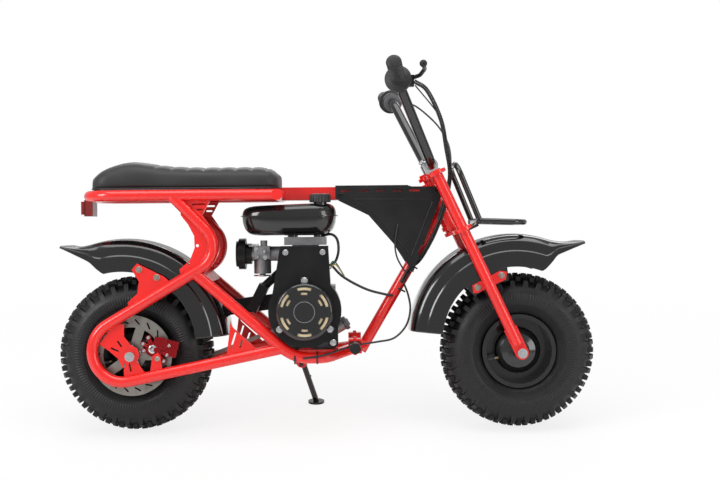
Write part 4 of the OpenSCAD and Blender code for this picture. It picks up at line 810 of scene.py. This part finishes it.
ribs = 24
turn = np.linspace(0, 2 * np.pi, ribs * 6, endpoint=False)[None, :]
cap_rows = np.array([(521.2, 22.0, 0), (521.6, 24.2, 0), (523, 24.6, 1), (537, 24.6, 1), (539.5, 23.2, 0.3),
                     (540.6, 20, 0), (540.6, 12, 0), (539.4, 11, 0), (539.4, 2, 0)])[:, :, None]
radius = cap_rows[:, 1] - 1.3 * cap_rows[:, 2] * (0.5 + 0.5 * np.tanh(3 * np.cos(ribs * turn)))
cap = np.stack([428 + radius * np.cos(turn), -46 + radius * np.sin(turn),
                np.broadcast_to(cap_rows[:, 0], radius.shape)], -1)
rows, cols = cap.shape[:2]
cap_faces = weave(rows, cols, round_cols=True).tolist()
cap_faces += [list(range(cols))[::-1], list(range((rows - 1) * cols, rows * cols))]
cap_plastic = finish("cap_plastic", (0.012, 0.012, 0.013), (0.020, 0.020, 0.021), 0.42, patch=60, grain=700,
                     height=0.2)
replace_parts(skin("ribbed_cap", cap.reshape(-1, 3), cap_faces, cap_plastic, "frame", "cover_black"), "fuel_cap")

# Side cover trim. A raised rib runs round the panel inside its edge, and three screws hold it.
COVER_FACE = -37.25
rib_path = np.array([(503, 528), (556, 493), (607, 432), (636, 396), (686, 520), (676, 527), (503, 528)], float)
rib_path = np.concatenate([a + (b - a) * np.linspace(0, 1, 12, endpoint=False)[:, None]
                           for a, b in zip(rib_path[:-1], rib_path[1:])] + [rib_path[-1:]])
screws, raised = [], []
for s in (1, -1):
    y = np.full(len(rib_path), s * (abs(COVER_FACE) - 0.2))
    raised.append(sweep(np.stack([rib_path[:, 0], y, rib_path[:, 1]], -1), 1.5, 8))
    for x, z in ((474, 538), (641, 372), (694, 546)):
        screws.append(bolt((x, s * abs(COVER_FACE), z), (0, s, 0), 8, tall=3, washer=1.1, socket_head=True))
skin("cover_ribs", *gather(raised), cover_plastic, "frame", "cover_black")
black_screw = finish("black_screw", (0.02, 0.02, 0.021), (0.035, 0.035, 0.036), 0.28, 0.6, patch=70, grain=900)
skin("cover_screws", *gather(screws), black_screw, "frame", "steel")


# Grips. Soft black rubber with shallow ribs, a round end and a wide guard flange.
BAR_END = np.array([588.0, -330.0, 801.0])
BAR_BEND = np.array([607.0, -180.0, 770.0])
inward = unit(BAR_BEND - BAR_END)
rib = [(d + k, r) for d in np.arange(4.0, 98.0, 4.0) for k, r in ((0, 15.2), (0.8, 16.4), (2.6, 16.4), (3.4, 15.2))]
grip_profile = ([(-3, 0), (-3, 10), (-2, 14), (0, 15.6)] + [(2, 16.5), (3.4, 16.5)] + rib
                + [(101, 18), (103, 26), (104.2, 29), (111, 29.2), (112, 28), (112, 12)])
grips = []
for s in (1, -1):
    grips.append(spun(grip_profile, BAR_END * [1, s, 1], inward * [1, s, 1], 36))
grip_piece = skin("ribbed_grips", *gather(grips), soft_rubber, "steering", "rubber", sharp=0.9)
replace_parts(grip_piece, "grips")

# Steering trim. Socket screws of the bar clamps and the pinch bolts of the fork plates.
RAKE = np.radians(25)
FORK_AXLE = np.array([WHEELBASE, 0, TYRE_R])


def on_fork(u, y, v):
    """A point u ahead of the fork legs' plane, y to the left and v up the legs from the axle."""
    return FORK_AXLE + [u * np.cos(RAKE) - v * np.sin(RAKE), y, u * np.sin(RAKE) + v * np.cos(RAKE)]


up_fork = on_fork(0, 0, 1) - FORK_AXLE
ahead = on_fork(1, 0, 0) - FORK_AXLE
clamp_screws = []
for y in (-32, 32):
    for u in (-12, 12):
        clamp_screws.append(bolt(on_fork(u - 1, y, 482 if u > 0 else 484), up_fork, 7, socket_head=True, washer=1.1))
skin("clamp_screws", *gather(clamp_screws), bright_zinc, "steering", "steel")
pinch = [bolt(on_fork(16.5, s * 90, v), ahead, 8, washer=1.3) for s in (1, -1) for v in (308, 448)]
skin("pinch_bolts", *gather(pinch), zinc, "steering", "steel")

# Left switch housing: a grey face inside the bar's end, with a red stop button
face = BAR_END * [1, -1, 1] + inward * [1, -1, 1] * 137.3
skin("switch_face", *spun([(0, 11.6), (0, 22.5), (1.2, 22.5), (1.8, 21.6), (1.8, 11.6)], face, inward * [1, -1, 1],
                          36), grey_plastic, "steering", "cover_black")
red_plastic = finish("red_plastic", (0.55, 0.02, 0.015), (0.42, 0.012, 0.01), 0.35, patch=60, grain=700)
skin("stop_button", *spun([(0, 4.6), (2.6, 4.6), (3.4, 3.8), (3.4, 0)], face + [-13, 0, 10] + inward * [1, -1, 1] * 1.7,
                          inward * [1, -1, 1], 20), red_plastic, "steering", "anodised")


# Cables. The controls' bundle comes down beside the head tube. The engine's lead runs from the
# blower housing to the down tube.
BUNDLE = [(638, -190, 776), (666, -170, 758), (698, -124, 700), (712, -90, 640), (722, -64, 580),
          (710, -53, 510), (693, -44, 462), (676, -32, 425), (655, -21, 390), (634, -16.6, 370), (612, -16.6, 336)]
LEAD = [(451, -60, 380), (480, -50, 350), (530, -35, 322), (572, -20, 309), (594, -15.4, 305)]
# Offsets of the strands across the bundle, and their radii
strands = [((0.0, 0.0), 2.6), ((5.4, 1.0), 1.9), ((2.0, 5.0), 1.9)]
path = rail(BUNDLE, 8)
along = unit(np.gradient(path, axis=0))
across = unit(np.cross(along, (0.0, 1.0, 0.0)))
over = np.cross(across, along)
bundle = [sweep(path + across * u + over * v, r, 12) for (u, v), r in strands]
SWITCH_WIRE = [(633, 188, 774), (664, 168, 760), (704, 110, 716), (722, 40, 676), (728, -20, 640),
               (726, -56, 596), (714, -56, 540), (697, -46, 480)]
STOP_WIRE = [(640, -186, 770), (690, -140, 716), (704, -96, 690), (714, -86, 640), (722, -58, 588)]
bundle += [sweep(rail(SWITCH_WIRE, 8), 2.2, 12), sweep(rail(STOP_WIRE, 8), 1.5, 10)]
bundle = gather(bundle)
cables = skin("control_bundle", *bundle, cable_skin, None, "rubber")
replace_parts(cables, "control_cables")
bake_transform(cables)
lead = skin("engine_lead", *sweep(rail(LEAD, 8), 2.9, 12), cable_skin, "frame", "rubber")
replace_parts(lead, "harness")
# Brake cable: from the bundle's foot it bows forward and runs back along the lower rail
BRAKE = [(616, -16.9, 342), (629, -22, 306), (633, -30, 272), (622, -42, 236), (594, -56, 210), (556, -70, 203),
         (512, -86, 198), (470, -101, 188), (430, -115.5, 177), (388, -116.5, 171)]
skin("brake_cable", *sweep(rail(BRAKE, 8), 2.3, 12), cable_skin, "frame", "rubber")
CLUTCH_LOOP = [(606, -39.5, 470), (599, -41, 428), (603, -38, 395), (617, -28, 368), (630, -20, 350)]
skin("throttle_loop", *sweep(rail(CLUTCH_LOOP, 8), 1.9, 12), cable_skin, "frame", "rubber")
# Zip ties round the down tube and the lower rail
ties = []
for at, aim, r in (((611.0, 0, 319.0), (0.477, 0, 0.879), 13.2), ((640.0, 0, 372.5), (0.477, 0, 0.879), 13.2),
                   ((420.0, -101, 171.0), (1, 0, 0), 13.2), ((370.0, -101, 171.0), (1, 0, 0), 13.2)):
    ties.append(spun([(-1.8, r), (-1.8, r + 1.0), (1.8, r + 1.0), (1.8, r)], at, aim, 32))
skin("zip_ties", *gather(ties), cable_skin, "frame", "rubber")
IGNITION = [(428, -20, 443), (452, -24, 448), (466, -27, 436), (469, -29, 410), (462, -31, 386), (448, -34, 376)]
skin("ignition_lead", *sweep(rail(IGNITION, 8), 3.0, 12), cable_skin, "frame", "rubber")
# Two thin wires join the lead at the housing
for name, colour, bend in (("green_wire", (0.02, 0.20, 0.12), 5.0), ("yellow_wire", (0.50, 0.34, 0.04), -3.0)):
    insulation = finish(name, colour, tuple(0.7 * c for c in colour), 0.4, patch=80, grain=700, height=0.1)
    wire = [(450, -62, 372 + bend), (456, -63, 381 + bend), (465, -60, 378 + bend / 2), (482, -51, 352)]
    skin(name, *sweep(rail(wire, 8), 1.5, 8), insulation, "frame", "rubber")
